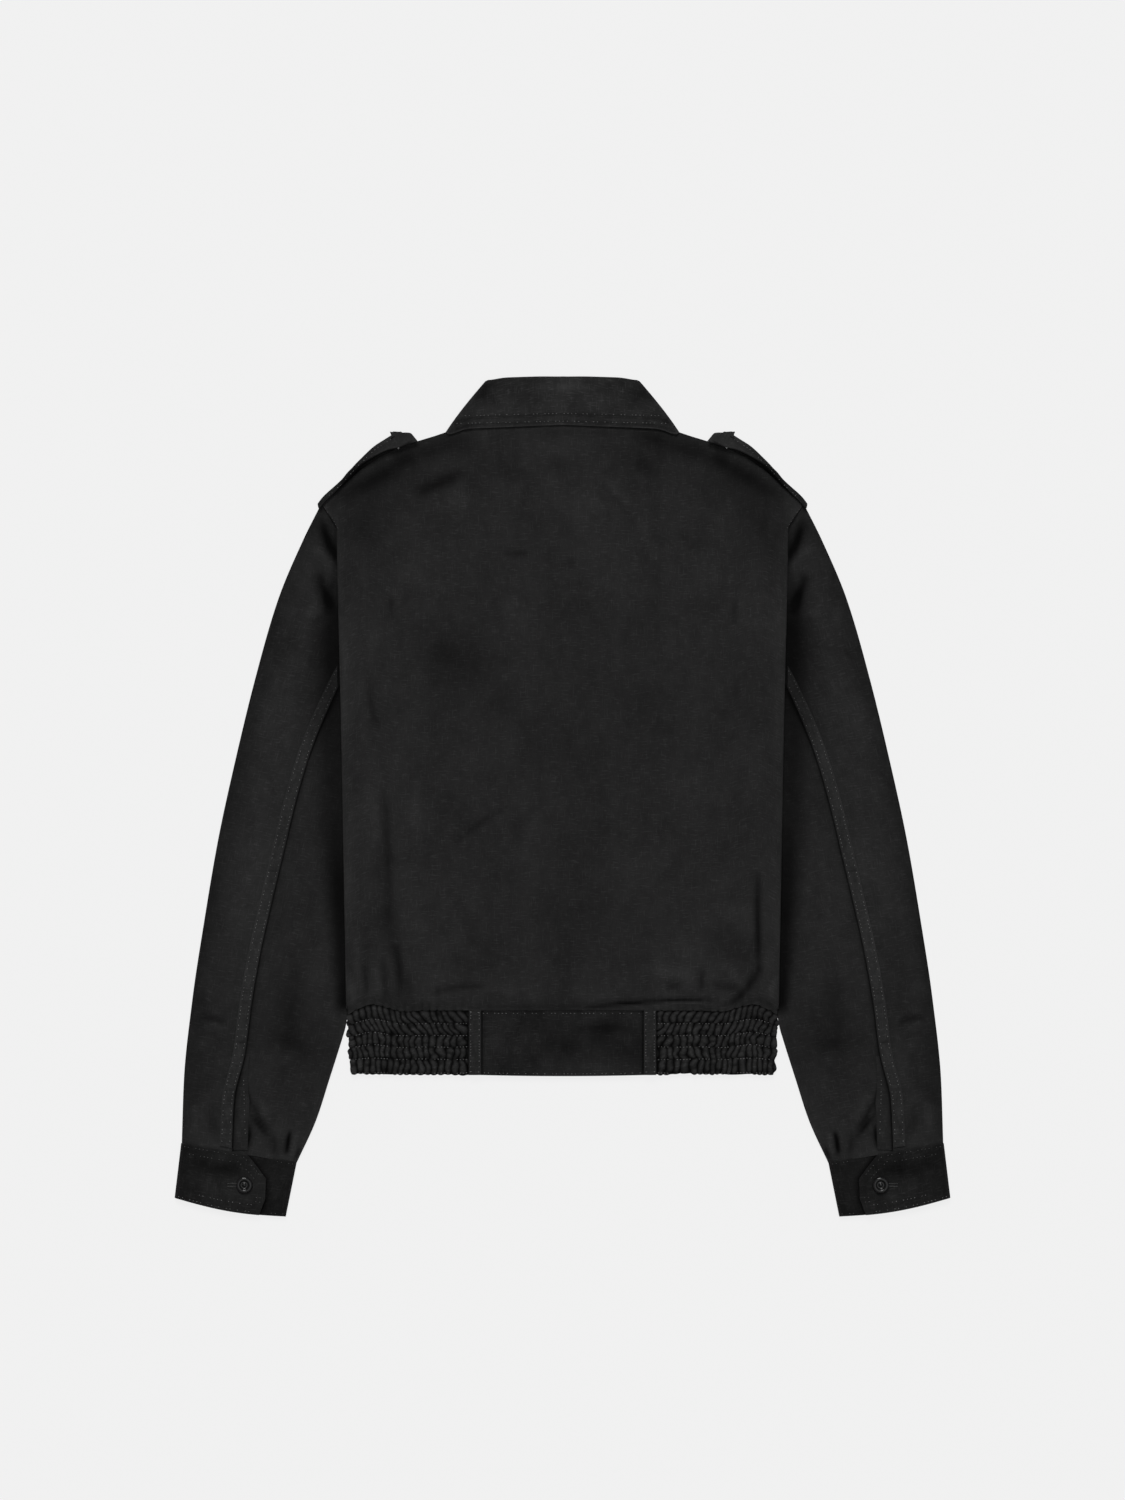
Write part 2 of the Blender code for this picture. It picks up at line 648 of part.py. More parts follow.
def ring_row(fold, front, back_up, levels, down, wall, columns):
    """Return half a flattened collar ring at one share of its width, with its directions.

    Each entry is a point in plan, its level, and the direction towards the ring's inside.
    """
    low, high = levels
    radius = (high - low) / 2
    sideways = fold_sideways(fold)
    corner = fold[0].lerp(fold[1], down) - sideways * (radius + wall / 2)
    back = Vector((0.0, mix(back_up[0], back_up[1], down)))
    end = front(down)
    row = []
    for share in columns:
        row.append((back.lerp(corner, share), high, Vector((0.0, 0.0, -1.0))))
    for turn in FOLD_TURNS:
        angle = math.radians(turn)
        place = corner + sideways * radius * math.sin(angle)
        inward = Vector((-sideways.x * math.sin(angle), -sideways.y * math.sin(angle),
                         -math.cos(angle)))
        row.append((place, low + radius * (1.0 + math.cos(angle)), inward))
    for share in (0.0, 0.33, 0.67, 1.0):
        row.append((corner.lerp(end, share), low, Vector((0.0, 0.0, 1.0))))
    return row


def fall_rows():
    """Return the collar fall, from its outer edge over the back to the roll and its lip."""
    inset = ROLL_RADIUS + DOUBLE / 2
    columns = (0.0, 0.35, 0.7, 0.9, 1.0)

    def front(down):
        return FALL_FRONT[0].lerp(FALL_FRONT[1], down)

    widths = (1.0, 0.66, 0.33, 0.0)
    halves = []
    for down in widths:
        back_up = (COLLAR_TOP - inset, FALL_BACK_DROP)
        fold = (FALL_FOLD[0] - Vector((0.0, inset)), FALL_FOLD[1])
        halves.append(ring_row(fold, front, back_up, FALL_LEVELS, down, DOUBLE, columns))
    rows = [[(place.x, place.y, level) for place, level, _ in half] for half in halves]
    roll = halves[-1]
    beside = halves[-2]
    for turn in ROLL_TURNS:
        angle = math.radians(turn)
        row = []
        for (place, level, inward), (other, _, _) in zip(roll, beside):
            outward = (place - other).normalized()
            point = place + outward * ROLL_RADIUS * math.sin(angle)
            shift = inward * ROLL_RADIUS * (1.0 - math.cos(angle))
            row.append((point.x + shift.x, point.y + shift.y, level + shift.z))
        rows.append(row)
    return [both_sides(row) for row in rows]


def stand_rows():
    """Return the collar stand inside the fall, sewn to the neckline all round."""
    low, high = STAND_LEVELS
    radius = (high - low) / 2
    sideways = fold_sideways(STAND_FOLD)
    inset = sideways * (radius + CLOTH / 2)
    top_up = COLLAR_TOP - ROLL_RADIUS - DOUBLE / 2 - EASE
    rows = []
    for down in (1.0, 0.5, 0.0):
        corner = STAND_FOLD[0].lerp(STAND_FOLD[1], down) - inset
        half = []
        for share in (0.0, 0.34, 0.67):
            neck_up = back_top(corner.x * share) + STAND_SEAM_UP
            half.append((corner.x * share, mix(top_up, neck_up, down), high))
        half.append((corner.x, corner.y, high))
        for turn in FOLD_TURNS:
            angle = math.radians(turn)
            place = corner + sideways * radius * math.sin(angle)
            half.append((place.x, place.y, low + radius * (1.0 + math.cos(angle))))
        half.append((corner.x, corner.y, low))
        for angle in reversed(NECK_ANGLES):
            share = 1.0 - (angle / NECK_ANGLES[0])
            edge = STAND_FRONT_TOP.lerp(STAND_FOLD[0] - inset, share)
            place = edge.lerp(Vector(neck_point(angle, STAND_NECK_GAP)), down)
            half.append((place.x, place.y, low))
        rows.append(both_sides(half))
    return rows


# Shoulder straps


def strap_value(name):
    """Return one column of the strap's table as a function of the distance along it."""
    return curve([(row.along, getattr(row, name)) for row in STRAP_ROWS])


def strap_place(along, out, level):
    """Return a strap point from its own directions."""
    place = STRAP_START + STRAP_ALONG * along + STRAP_OUT * out
    return place.x, place.y, level


def strap_rows():
    """Return the shoulder strap: its upper part, its fold beyond the shoulder, its under part."""
    near = strap_value("near")
    fold = strap_value("fold")
    under = strap_value("under")
    low = DOUBLE / 2
    radius = (STRAP_LEVEL - low) / 2
    rows = []
    for share in spread(0.0, 1.0, 10):
        row = []
        for column in STRAP_UPPER:
            along = mix(column.start, column.end, share)
            centre = fold(along) - radius - DOUBLE / 2
            out = mix(near(along), max(centre, near(along) + 1.0), column.share)
            lift = STRAP_LIFT * (1.0 - column.share) * (1.0 - ease(60.0, 100.0, along))
            row.append(strap_place(along, out, STRAP_LEVEL + lift))
        for turn in (0.0, 45.0, 90.0, 135.0, 180.0):
            angle = math.radians(turn)
            end = STRAP_FOLD_SPAN[1] - STRAP_END_SLANT * turn / 180.0
            along = mix(STRAP_FOLD_SPAN[0], end, share)
            centre = max(fold(along) - radius - DOUBLE / 2, near(along) + 1.0)
            level = low + radius * (1.0 + math.cos(angle))
            row.append(strap_place(along, centre + radius * math.sin(angle), level))
        for column in STRAP_UNDER:
            along = mix(column.start, column.end, share)
            row.append(strap_place(along, mix(centre, under(along), column.share), low))
        rows.append(row)
    return rows


# Waistband


def gather_edges():
    """Return where each ridge of the shirred band starts, and its width."""
    widths = []
    for index in range(GATHERS):
        spacing = mix(GATHER_SPACING[0], GATHER_SPACING[1], index / (GATHERS - 1))
        widths.append(spacing * (1.0 + 0.2 * math.sin(2.4 * index)))
    room = BAND_SIDE_END - BAND_OUTSIDE / 2 - BAND_SIDE_PLAIN
    scale = room / sum(widths)
    starts = []
    out = BAND_SIDE_PLAIN
    for width in widths:
        starts.append((out, width * scale))
        out += width * scale
    return starts


def band_columns():
    """Return the shirred band's section: outer point, inner point, ridge height, ridge index."""
    radius = BAND_OUTSIDE / 2
    inner_radius = (BAND_INSIDE - BAND_WALL) / 2
    inner_centre = (BAND_INSIDE + BAND_WALL) / 2
    centre = BAND_SIDE_END - radius
    columns = [(BAND_BACK_HALF + SEAM, BAND_OUTSIDE, BAND_BACK_HALF + SEAM, BAND_INSIDE, 0.0, 0)]
    for index, (start, width) in enumerate(gather_edges()):
        for share, swell in ((0.0, 0.0), (0.36, 1.0), (0.7, 0.8)):
            out = start + width * share
            columns.append((out, BAND_OUTSIDE, out, BAND_INSIDE, swell, index))
    for turn in (0.0, 36.0, 72.0, 108.0, 144.0, 180.0):
        angle = math.radians(turn)
        across = math.sin(angle)
        rise = math.cos(angle)
        outer = (centre + radius * across, radius + radius * rise)
        inner = (centre + inner_radius * across, inner_centre + inner_radius * rise)
        columns.append((*outer, *inner, 0.0, GATHERS))
    columns.append((BAND_FRONT_END, 0.0, BAND_FRONT_END, BAND_WALL, 0.0, 0))
    return columns


def add_band_side(name, side):
    """Make a shirred side of the waistband: ridges outside, plain inside, round the side."""
    columns = band_columns()
    height = BAND_TOP - BAND_SIDE_FOOT
    cloth = bmesh.new()
    outer = []
    inner = []
    for outer_x, outer_z, inner_x, inner_z, swell, index in columns:
        line = []
        for row, channel in enumerate(CHANNELS):
            uneven = 1.0 + 0.25 * math.sin(1.7 * index + 0.9 * row)
            ridge = GATHER_HEIGHT * swell * channel.swell * uneven
            drop = BAND_SIDE_SAG * swell * ease(0.9, 1.0, channel.down)
            up = BAND_TOP - height * channel.down - drop
            line.append(cloth.verts.new(Vector((side * outer_x, up, outer_z + ridge)) * MM))
        outer.append(line)
        inner.append([cloth.verts.new(Vector((side * inner_x, up, inner_z)) * MM)
                      for up in (BAND_TOP, BAND_SIDE_FOOT)])
    for here, there, near, far in zip(outer, outer[1:], inner, inner[1:]):
        for step in range(len(CHANNELS) - 1):
            cloth.faces.new((here[step], here[step + 1], there[step + 1], there[step]))
        cloth.faces.new((near[0], far[0], far[1], near[1]))
        cloth.faces.new((here[0], there[0], far[0], near[0]))
        cloth.faces.new((here[-1], near[1], far[1], there[-1]))
    for line, pair in ((outer[0], inner[0]), (outer[-1], inner[-1])):
        cloth.faces.new(line + [pair[1], pair[0]])
    bmesh.ops.recalc_face_normals(cloth, faces=cloth.faces)
    mesh = bpy.data.meshes.new(name)
    cloth.to_mesh(mesh)
    cloth.free()
    add_object(name, mesh, COTTON, 0.95)


def band_back_rows():
    """Return the flat centre-back panel of the waistband."""
    rows = []
    for up_share in (0.0, 0.5, 1.0):
        row = []
        for out in spread(-BAND_BACK_HALF, BAND_BACK_HALF, 7):
            foot = BAND_BACK_FOOT + BAND_BACK_SAG * (out / BAND_BACK_HALF) ** 2
            up = mix(foot, BAND_TOP, up_share)
            row.append((out, up, BAND_BACK_LEVEL))
        rows.append(row)
    return rows


def band_strip_rows():
    """Return a narrow strip over the joint of the flat and the shirred band."""
    return [[(out, up, STRIP_LEVEL) for out in STRIP_SPAN]
            for up in spread(STRIP_FOOT, BAND_TOP, 3)]


def band_front_rows(upper):
    """Return the plain front of the waistband; the upper one lies on the other."""
    rows = []
    for up in (BAND_SIDE_FOOT, BAND_TOP):
        row = []
        for out in (-BAND_FRONT_OVERLAP, 0.0, *BAND_FRONT_STEP, BAND_SIDE_PLAIN,
                    BAND_FRONT_END - SEAM):
            level = BAND_WALL / 2
            if upper and out < BAND_FRONT_STEP[1]:
                level += BAND_WALL + SEAM
            row.append((out, up, level))
        rows.append(row)
    return rows


def build_body():
    """Make the back and the two fronts."""
    add_wall("back", back_rows(), CLOTH)
    add_wall("front_right", front_rows(upper=True), CLOTH, COTTON_DARK)
    add_wall("front_left", mirrored(front_rows(upper=False), -1), CLOTH, COTTON_DARK)


def build_sleeves():
    """Make the sleeves with their felled seams and vent plackets."""
    add_pair("top_sleeve", top_sleeve_rows(), CLOTH)
    add_pair("under_sleeve", under_sleeve_rows(), CLOTH)
    add_pair("sleeve_seam", fell_rows(), TRIM_WALL)
    add_pair("vent_placket", vent_rows(), TRIM_WALL, COTTON_DARK)


def build_cuffs():
    """Make the cuffs and their buttons."""
    add_pair("cuff", cuff_rows(), CUFF_WALL)
    add_button("cuff_button_right", 1)
    add_button("cuff_button_left", -1)


def build_collar():
    """Make the collar's stand and fall."""
    add_wall("collar_stand", stand_rows(), CLOTH, COTTON_DARK)
    add_wall("collar_fall", fall_rows(), DOUBLE)


def build_straps():
    """Make the two shoulder straps."""
    add_pair("epaulette", strap_rows(), DOUBLE)


def build_waistband():
    """Make the waistband: centre back, shirred sides, strips and plain fronts."""
    add_wall("waistband_back", band_back_rows(), BAND_BACK_WALL)
    add_band_side("waistband_side_right", 1)
    add_band_side("waistband_side_left", -1)
    add_pair("band_strip", band_strip_rows(), STRIP_WALL)
    add_wall("waistband_front_right", band_front_rows(upper=True), BAND_WALL, COTTON_DARK)
    add_wall("waistband_front_left", mirrored(band_front_rows(upper=False), -1), BAND_WALL,
             COTTON_DARK)


def main():
    """Clear the scene and build the jacket."""
    for item in list(bpy.data.objects):
        bpy.data.objects.remove(item, do_unlink=True)
    collection = bpy.data.collections.new(COLLECTION)
    bpy.context.scene.collection.children.link(collection)
    build_body()
    build_sleeves()
    build_cuffs()
    build_collar()
    build_straps()
    build_waistband()


main()
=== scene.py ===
"""Black officer jacket laid flat, back up: cloth shells, seams, stitches, buttons and finishes.

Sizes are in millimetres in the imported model's frame: +X to the wearer's right sleeve, +Y from the
hem to the collar, +Z up from the surface. They become metres when a mesh is made. Each cloth
piece is a fine shell on its solid's form, worked out for the +X side and mirrored for the other.
"""

from __future__ import annotations

import logging
import math
from collections.abc import Iterable, Sequence
from dataclasses import dataclass
from enum import Enum

import bpy
import numpy as np
from mathutils import Matrix, Vector
from mathutils.bvhtree import BVHTree

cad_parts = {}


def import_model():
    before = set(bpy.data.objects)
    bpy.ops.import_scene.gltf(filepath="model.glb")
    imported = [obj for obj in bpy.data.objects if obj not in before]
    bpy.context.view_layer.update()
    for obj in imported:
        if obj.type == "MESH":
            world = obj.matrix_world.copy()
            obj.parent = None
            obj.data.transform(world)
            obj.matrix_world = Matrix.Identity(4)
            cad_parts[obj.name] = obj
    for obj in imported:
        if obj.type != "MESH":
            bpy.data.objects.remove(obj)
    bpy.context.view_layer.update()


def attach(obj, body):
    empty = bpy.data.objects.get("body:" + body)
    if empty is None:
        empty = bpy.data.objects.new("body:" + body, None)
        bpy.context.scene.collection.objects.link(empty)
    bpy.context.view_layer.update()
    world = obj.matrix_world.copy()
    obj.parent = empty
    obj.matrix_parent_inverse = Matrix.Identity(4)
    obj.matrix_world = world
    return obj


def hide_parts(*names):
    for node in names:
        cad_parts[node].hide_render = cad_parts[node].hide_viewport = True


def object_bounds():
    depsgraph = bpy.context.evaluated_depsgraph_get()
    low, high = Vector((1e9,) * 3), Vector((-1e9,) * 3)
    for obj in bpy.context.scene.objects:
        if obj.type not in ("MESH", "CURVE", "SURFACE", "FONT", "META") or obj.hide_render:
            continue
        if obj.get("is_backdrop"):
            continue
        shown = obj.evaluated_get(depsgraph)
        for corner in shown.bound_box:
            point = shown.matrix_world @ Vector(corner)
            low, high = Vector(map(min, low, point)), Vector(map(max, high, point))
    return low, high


Array = np.ndarray
Value = Array | float
Pair = tuple[float, float]
Triple = tuple[float, float, float]
Points = tuple[Pair, ...]
Piece = bpy.types.Object

MM = 0.001
BODY = "root"
MIRROR = np.array((-1.0, 1.0, 1.0))
DOWN = Vector((0.0, 0.0, -1.0))
CLOTH_SMOOTH = math.radians(50.0)
# Limits of the painted shade and light, with some uneven tone, in the cloth's colour.
SHADE_AND_DYE_LIMITS = (-0.92, 0.8)
log = logging.getLogger("officer_jacket")


class Side(Enum):
    """The two sides of the jacket, as the sign of X."""

    RIGHT = 1
    LEFT = -1

    @property
    def word(self) -> str:
        """Return the side's word in a node's name."""
        return self.name.lower()


class Held(Enum):
    """How a sheet of cloth lies."""

    LAID = "laid"
    FOLDED = "folded"
    GATHERED = "gathered"


def ease(low: float, high: float, value: Value) -> Array:
    """Rise smoothly from 0 at low to 1 at high."""
    part = np.clip((np.asarray(value, float) - low) / (high - low), 0.0, 1.0)
    return part * part * (3.0 - 2.0 * part)


def mix(start: Value, end: Value, part: Value) -> Value:
    """Stand between start and end."""
    return start + (end - start) * part


def shares(count: int, start: float = 0.0, end: float = 1.0) -> Array:
    """Return even steps along a row of a grid, shaped (1, count)."""
    return np.linspace(start, end, count)[None]


def row_shares(count: int, start: float = 0.0, end: float = 1.0) -> Array:
    """Return even steps from row to row of a grid, shaped (count, 1)."""
    return np.linspace(start, end, count)[:, None]


def grid_of(x: Value, y: Value, z: Value) -> Array:
    """Return a grid of points from their coordinates, each stretched over the whole grid."""
    return np.stack(np.broadcast_arrays(x, y, z), axis=2)


def both_halves(rows: Sequence[Array]) -> Array:
    """Return a whole grid from rows that start on the centre line, mirrored on the left."""
    half = np.asarray(rows)
    return np.concatenate([half[:, :0:-1] * MIRROR, half], axis=1)


def grey(value: float) -> tuple[float, float, float, float]:
    """Return a grey colour."""
    return value, value, value, 1.0


@dataclass(frozen=True)
class Edge:
    """A smooth edge through (key, value) rows that never overshoots them."""

    rows: Points

    def __call__(self, key: Value) -> Array:
        """Read the edge.

        Args:
            key: Where to read it, in the rows' first column's units.

        Returns:
            The edge's value at each key.
        """
        keys, values = np.array(self.rows).T
        slopes = np.diff(values) / np.diff(keys)
        before, after = slopes[:-1], slopes[1:]
        same = before * after > 0.0
        inner = np.where(same, 2.0 * before * after / np.where(same, before + after, 1.0), 0.0)
        tangents = np.concatenate(([slopes[0]], inner, [slopes[-1]]))
        key = np.clip(np.asarray(key, float), keys[0], keys[-1])
        index = np.clip(np.searchsorted(keys, key, "right") - 1, 0, len(keys) - 2)
        span = keys[index + 1] - keys[index]
        part = (key - keys[index]) / span
        rise = part * part * (3.0 - 2.0 * part)
        start = part * (1.0 - part) ** 2 * span * tangents[index]
        end = part * part * (part - 1.0) * span * tangents[index + 1]
        return mix(values[index], values[index + 1], rise) + start + end


# Folds of the laid cloth


@dataclass(frozen=True)
class Crease:
    """A soft trough (negative height) or ridge between two points of the laid cloth."""

    start: Pair
    end: Pair
    width: float
    height: float
    bow: float = 0.0
    lean: float = 0.0

    def __call__(self, x: Array, y: Array) -> Array:
        """Return the crease's height at each point.

        Args:
            x: Distances along X.
            y: Distances along Y.

        Returns:
            Heights in millimetres, fading to none at both ends and to the sides.
        """
        run = np.array(self.end) - np.array(self.start)
        length = float(np.hypot(*run))
        along = np.clip(((x - self.start[0]) * run[0] + (y - self.start[1]) * run[1]) / length**2,
                        0.0, 1.0)
        fade = 4.0 * along * (1.0 - along)
        beside = (-(x - self.start[0]) * run[1] + (y - self.start[1]) * run[0]) / length
        share = (beside - self.bow * fade) / self.width
        return self.height * fade**0.7 * np.exp(-share * share) * (1.0 + self.lean * share)


def folds(*rows: tuple[float, ...]) -> tuple[Crease, ...]:
    """Return creases from a table of them.

    Args:
        rows: start X, start Y, end X, end Y, width and height, then bow and lean if not 0.

    Returns:
        A crease for each row.
    """
    return tuple(Crease(row[:2], row[2:4], *row[4:]) for row in rows)


def swells(x: Array, y: Array, size: float, seed: int) -> Array:
    """Return smooth, uneven swells from -1 to 1.

    Args:
        x: Distances along X.
        y: Distances along Y.
        size: About how far apart they are.
        seed: Which pattern of them.

    Returns:
        Their height at each point.
    """
    grid = 48
    total = np.zeros(np.broadcast(x, y).shape)
    for turn in (0.5, 1.9):
        table = np.random.default_rng(seed + int(10 * turn)).uniform(-1.0, 1.0, (grid, grid))
        u = (x * math.cos(turn) + y * math.sin(turn)) / size + grid
        v = (-x * math.sin(turn) + y * math.cos(turn)) / size + grid
        column, row = np.floor(u).astype(int), np.floor(v).astype(int)
        across, up = ease(0.0, 1.0, u - column), ease(0.0, 1.0, v - row)
        corners = [table[(row + i) % grid, (column + j) % grid] for i in (0, 1) for j in (0, 1)]
        total += mix(mix(corners[0], corners[1], across), mix(corners[2], corners[3], across), up)
    return total / 2.0


@dataclass(frozen=True)
class Relief:
    """All the folds of a piece: its creases, its uneven swells of several sizes, and its painted
    shade and light.

    Troughs are painted darker and ridges and raised swells paler: painted shade and light that
    follow the folds. The patches are paler or darker stretches of cloth that have no fold, partly
    painted shade and
    light and partly uneven tone: their heights are shares of tone.
    """

    creases: tuple[Crease, ...] = ()
    sizes: Points = ((90.0, 1.0), (34.0, 0.45), (13.0, 0.14))
    fades: tuple[Crease, ...] = ()
    seed: int = 1
    fold_shade_share: float = 0.28

    def __call__(self, x: Array, y: Array) -> Array:
        """Return the relief's height at each point of the laid cloth."""
        total = sum(height * swells(x, y, size, self.seed + index)
                    for index, (size, height) in enumerate(self.sizes))
        return total + sum(crease(x, y) for crease in self.creases)

    def dye(self, x: Array, y: Array) -> Array:
        """Read the painted shade and light that go with the folds, and the patches.

        Args:
            x: Distances along X.
            y: Distances along Y.

        Returns:
            How much paler (above 0) or darker the cloth is painted than its finish.
        """
        # Painted shade in the troughs, painted light on the ridges and raised swells.
        rises = sum((crease(x, y) for crease in self.creases), np.zeros(np.broadcast(x, y).shape))
        patches = sum(height * swells(x, y, size, self.seed + index) * 0.35
                      for index, (size, height) in enumerate(self.sizes))
        return self.fold_shade_share * (rises + patches) + sum(fade(x, y) for fade in self.fades)


# The jacket's draft: edges that several pieces share


@dataclass(frozen=True)
class Draft:
    """The laid jacket's outlines on its +X side, and the levels of its layers."""

    hem: float = -201.0
    shoulder: Pair = (228.0, 277.5)
    sleeve_outer: Edge = Edge((
        (-328, 361.5), (-269, 359.5), (-193, 351.5), (-117, 340), (-41, 327), (35, 310.5),
        (111, 292), (187, 270), (244, 246), (273.5, 231.3), (277.5, 229.3)))
    arm_inner: Edge = Edge((
        (-348, 252.4), (-307, 233.7), (-269, 221.4), (-231, 209.4), (-219, 205.9), (-208, 204),
        (-201, 202), (-165, 192.4), (-98, 172.4), (-51, 161.5), (0, 156.3), (35, 156.3), (73, 159),
        (111, 164.8), (149, 173.4), (187, 184.8), (225, 200), (254, 214.2), (277.5, 228)))
    body_side: Edge = Edge((
        (-201, 205.2), (-98, 207.1), (35, 209.5), (92, 210.7), (177, 212.8), (225, 213.8),
        (254, 214.2), (264.5, 219.9), (277.5, 228)))
    sleeve_seam: Edge = Edge((
        (-346, 314), (-288, 311.1), (-243.7, 300.7), (-193.3, 294), (-145.8, 285.5), (-103, 276),
        (-50.8, 263.6), (-3.3, 252.2), (44.2, 238), (105, 212.3), (140, 194), (172, 183)))
    top_line: Points = (
        (0.0, 359.6), (60.0, 357.5), (104.0, 350.0), (109.5, 346.2), (122.0, 342.0),
        (137.3, 337.4), (154.4, 331.5), (173.4, 322.5), (192.4, 309.8), (211.4, 292.8),
        (228.0, 277.5))
    hem_line: Edge = Edge((
        (0, -202.3), (80, -202.8), (126, -202.8), (152, -203.8), (165, -200.5), (181, -197),
        (194, -201.5), (204, -207)))
    armpit: float = 35.0
    armpit_blend: float = 25.0
    cloth: float = 1.2
    seam_gap: float = 0.3
    floor_level: float = 0.6
    sleeve_level: float = 2.6
    wrap_level: float = 4.2
    edge_level: float = 6.4
    body_level: float = 5.6
    shoulder_level: float = 4.0
    hem_level: float = 4.2

    def top(self, out: Array) -> Array:
        """Return how far up the neckline or the shoulder seam lies."""
        return np.interp(out, *np.array(self.top_line).T)

    def below_armpit(self, up: Array) -> Array:
        """Return 0 well above the armpit and 1 well below it."""
        return 1.0 - ease(self.armpit - self.armpit_blend, self.armpit + self.armpit_blend, up)


DRAFT = Draft()


# Shader graphs


class Signal:
    """A shader socket that Python's operators add Math nodes to."""

    def __init__(self, graph: Graph, socket: bpy.types.NodeSocket) -> None:
        """Keep the socket and the graph that it belongs to."""
        self.graph = graph
        self.socket = socket

    def _math(self, operation: str, first: Signal | float, second: Signal | float) -> Signal:
        """Add a Math node."""
        return self.graph.node("ShaderNodeMath", {"operation": operation}, {0: first, 1: second})

    def __add__(self, other: Signal | float) -> Signal:
        """Add a signal or a number."""
        return self._math("ADD", self, other)

    def __sub__(self, other: Signal | float) -> Signal:
        """Subtract a signal or a number."""
        return self._math("SUBTRACT", self, other)

    def __rsub__(self, other: float) -> Signal:
        """Subtract this signal from a number."""
        return self._math("SUBTRACT", other, self)

    def __mul__(self, other: Signal | float) -> Signal:
        """Multiply by a signal or a number."""
        return self._math("MULTIPLY", self, other)

    def wave(self) -> Signal:
        """Return the size of its sine."""
        return self._math("ABSOLUTE", self._math("SINE", self, 0.0), 0.0)

    __radd__ = __add__


class Graph:
    """A material's node graph, with one method that adds any node."""

    def __init__(self, name: str) -> None:
        """Start a material with only its output.

        Args:
            name: The material's name.
        """
        self.material = bpy.data.materials.new(name)
        self.material.use_nodes = True
        self.tree = self.material.node_tree
        self.tree.nodes.clear()
        self.output = self.tree.nodes.new("ShaderNodeOutputMaterial")

    def node(self, kind: str, settings: dict | None = None, inputs: dict | None = None,
             output: int | str = 0) -> Signal:
        """Add a node.

        Args:
            kind: The node's type.
            settings: Its settings, put in place before its sockets.
            inputs: A value or a signal for each socket, by its name or number.
            output: The output that the rest of the graph reads.

        Returns:
            That output as a signal.
        """
        made = self.tree.nodes.new(kind)
        for key, value in (settings or {}).items():
            setattr(made, key, value)
        for key, value in (inputs or {}).items():
            if isinstance(value, Signal):
                self.tree.links.new(value.socket, made.inputs[key])
            else:
                made.inputs[key].default_value = value
        return Signal(self, made.outputs[output])

    def place(self, scale: Pair, offset: Pair) -> Signal:
        """Return the piece's own cloth coordinates, in metres of cloth, moved and scaled."""
        uv = self.node("ShaderNodeTexCoord", output="UV")
        return self.node("ShaderNodeMapping", {}, {"Vector": uv, "Location": (*offset, 0.0),
                                                   "Scale": (*scale, 1.0)})

    def noise(self, place: Signal, scale: float, detail: float, roughness: float) -> Signal:
        """Return even noise from 0 to 1."""
        return self.node("ShaderNodeTexNoise", {"noise_dimensions": "2D"},
                         {"Vector": place, "Scale": scale, "Detail": detail,
                          "Roughness": roughness}, "Fac")

    def step(self, value: Signal, low: float, high: float) -> Signal:
        """Rise smoothly from 0 at low to 1 at high."""
        return self.node("ShaderNodeMapRange", {"interpolation_type": "SMOOTHSTEP"},
                         {"Value": value, "From Min": low, "From Max": high}, "Result")

    def tones(self, factor: Signal, dark: float, pale: float, clamp: bool = False) -> Signal:
        """Return a grey between two, by a factor."""
        settings = {"data_type": "RGBA"} | ({"clamp_factor": True} if clamp else {})
        return self.node("ShaderNodeMix", settings, {"Factor": factor, 6: grey(dark),
                                                     7: grey(pale)}, 2)

    def bump(self, height: Signal, strength: float, distance: float,
             under: Signal | None = None) -> Signal:
        """Return a normal from a height in the surface, over another bump if there is one."""
        inputs = {"Strength": strength, "Distance": distance, "Height": height}
        return self.node("ShaderNodeBump", {}, inputs | ({"Normal": under} if under else {}),
                         "Normal")

    def finish(self, inputs: dict) -> bpy.types.Material:
        """Join a Principled shader with these inputs to the output and return the material."""
        shader = self.node("ShaderNodeBsdfPrincipled", {}, inputs)
        self.tree.links.new(shader.socket, self.output.inputs["Surface"])
        return self.material


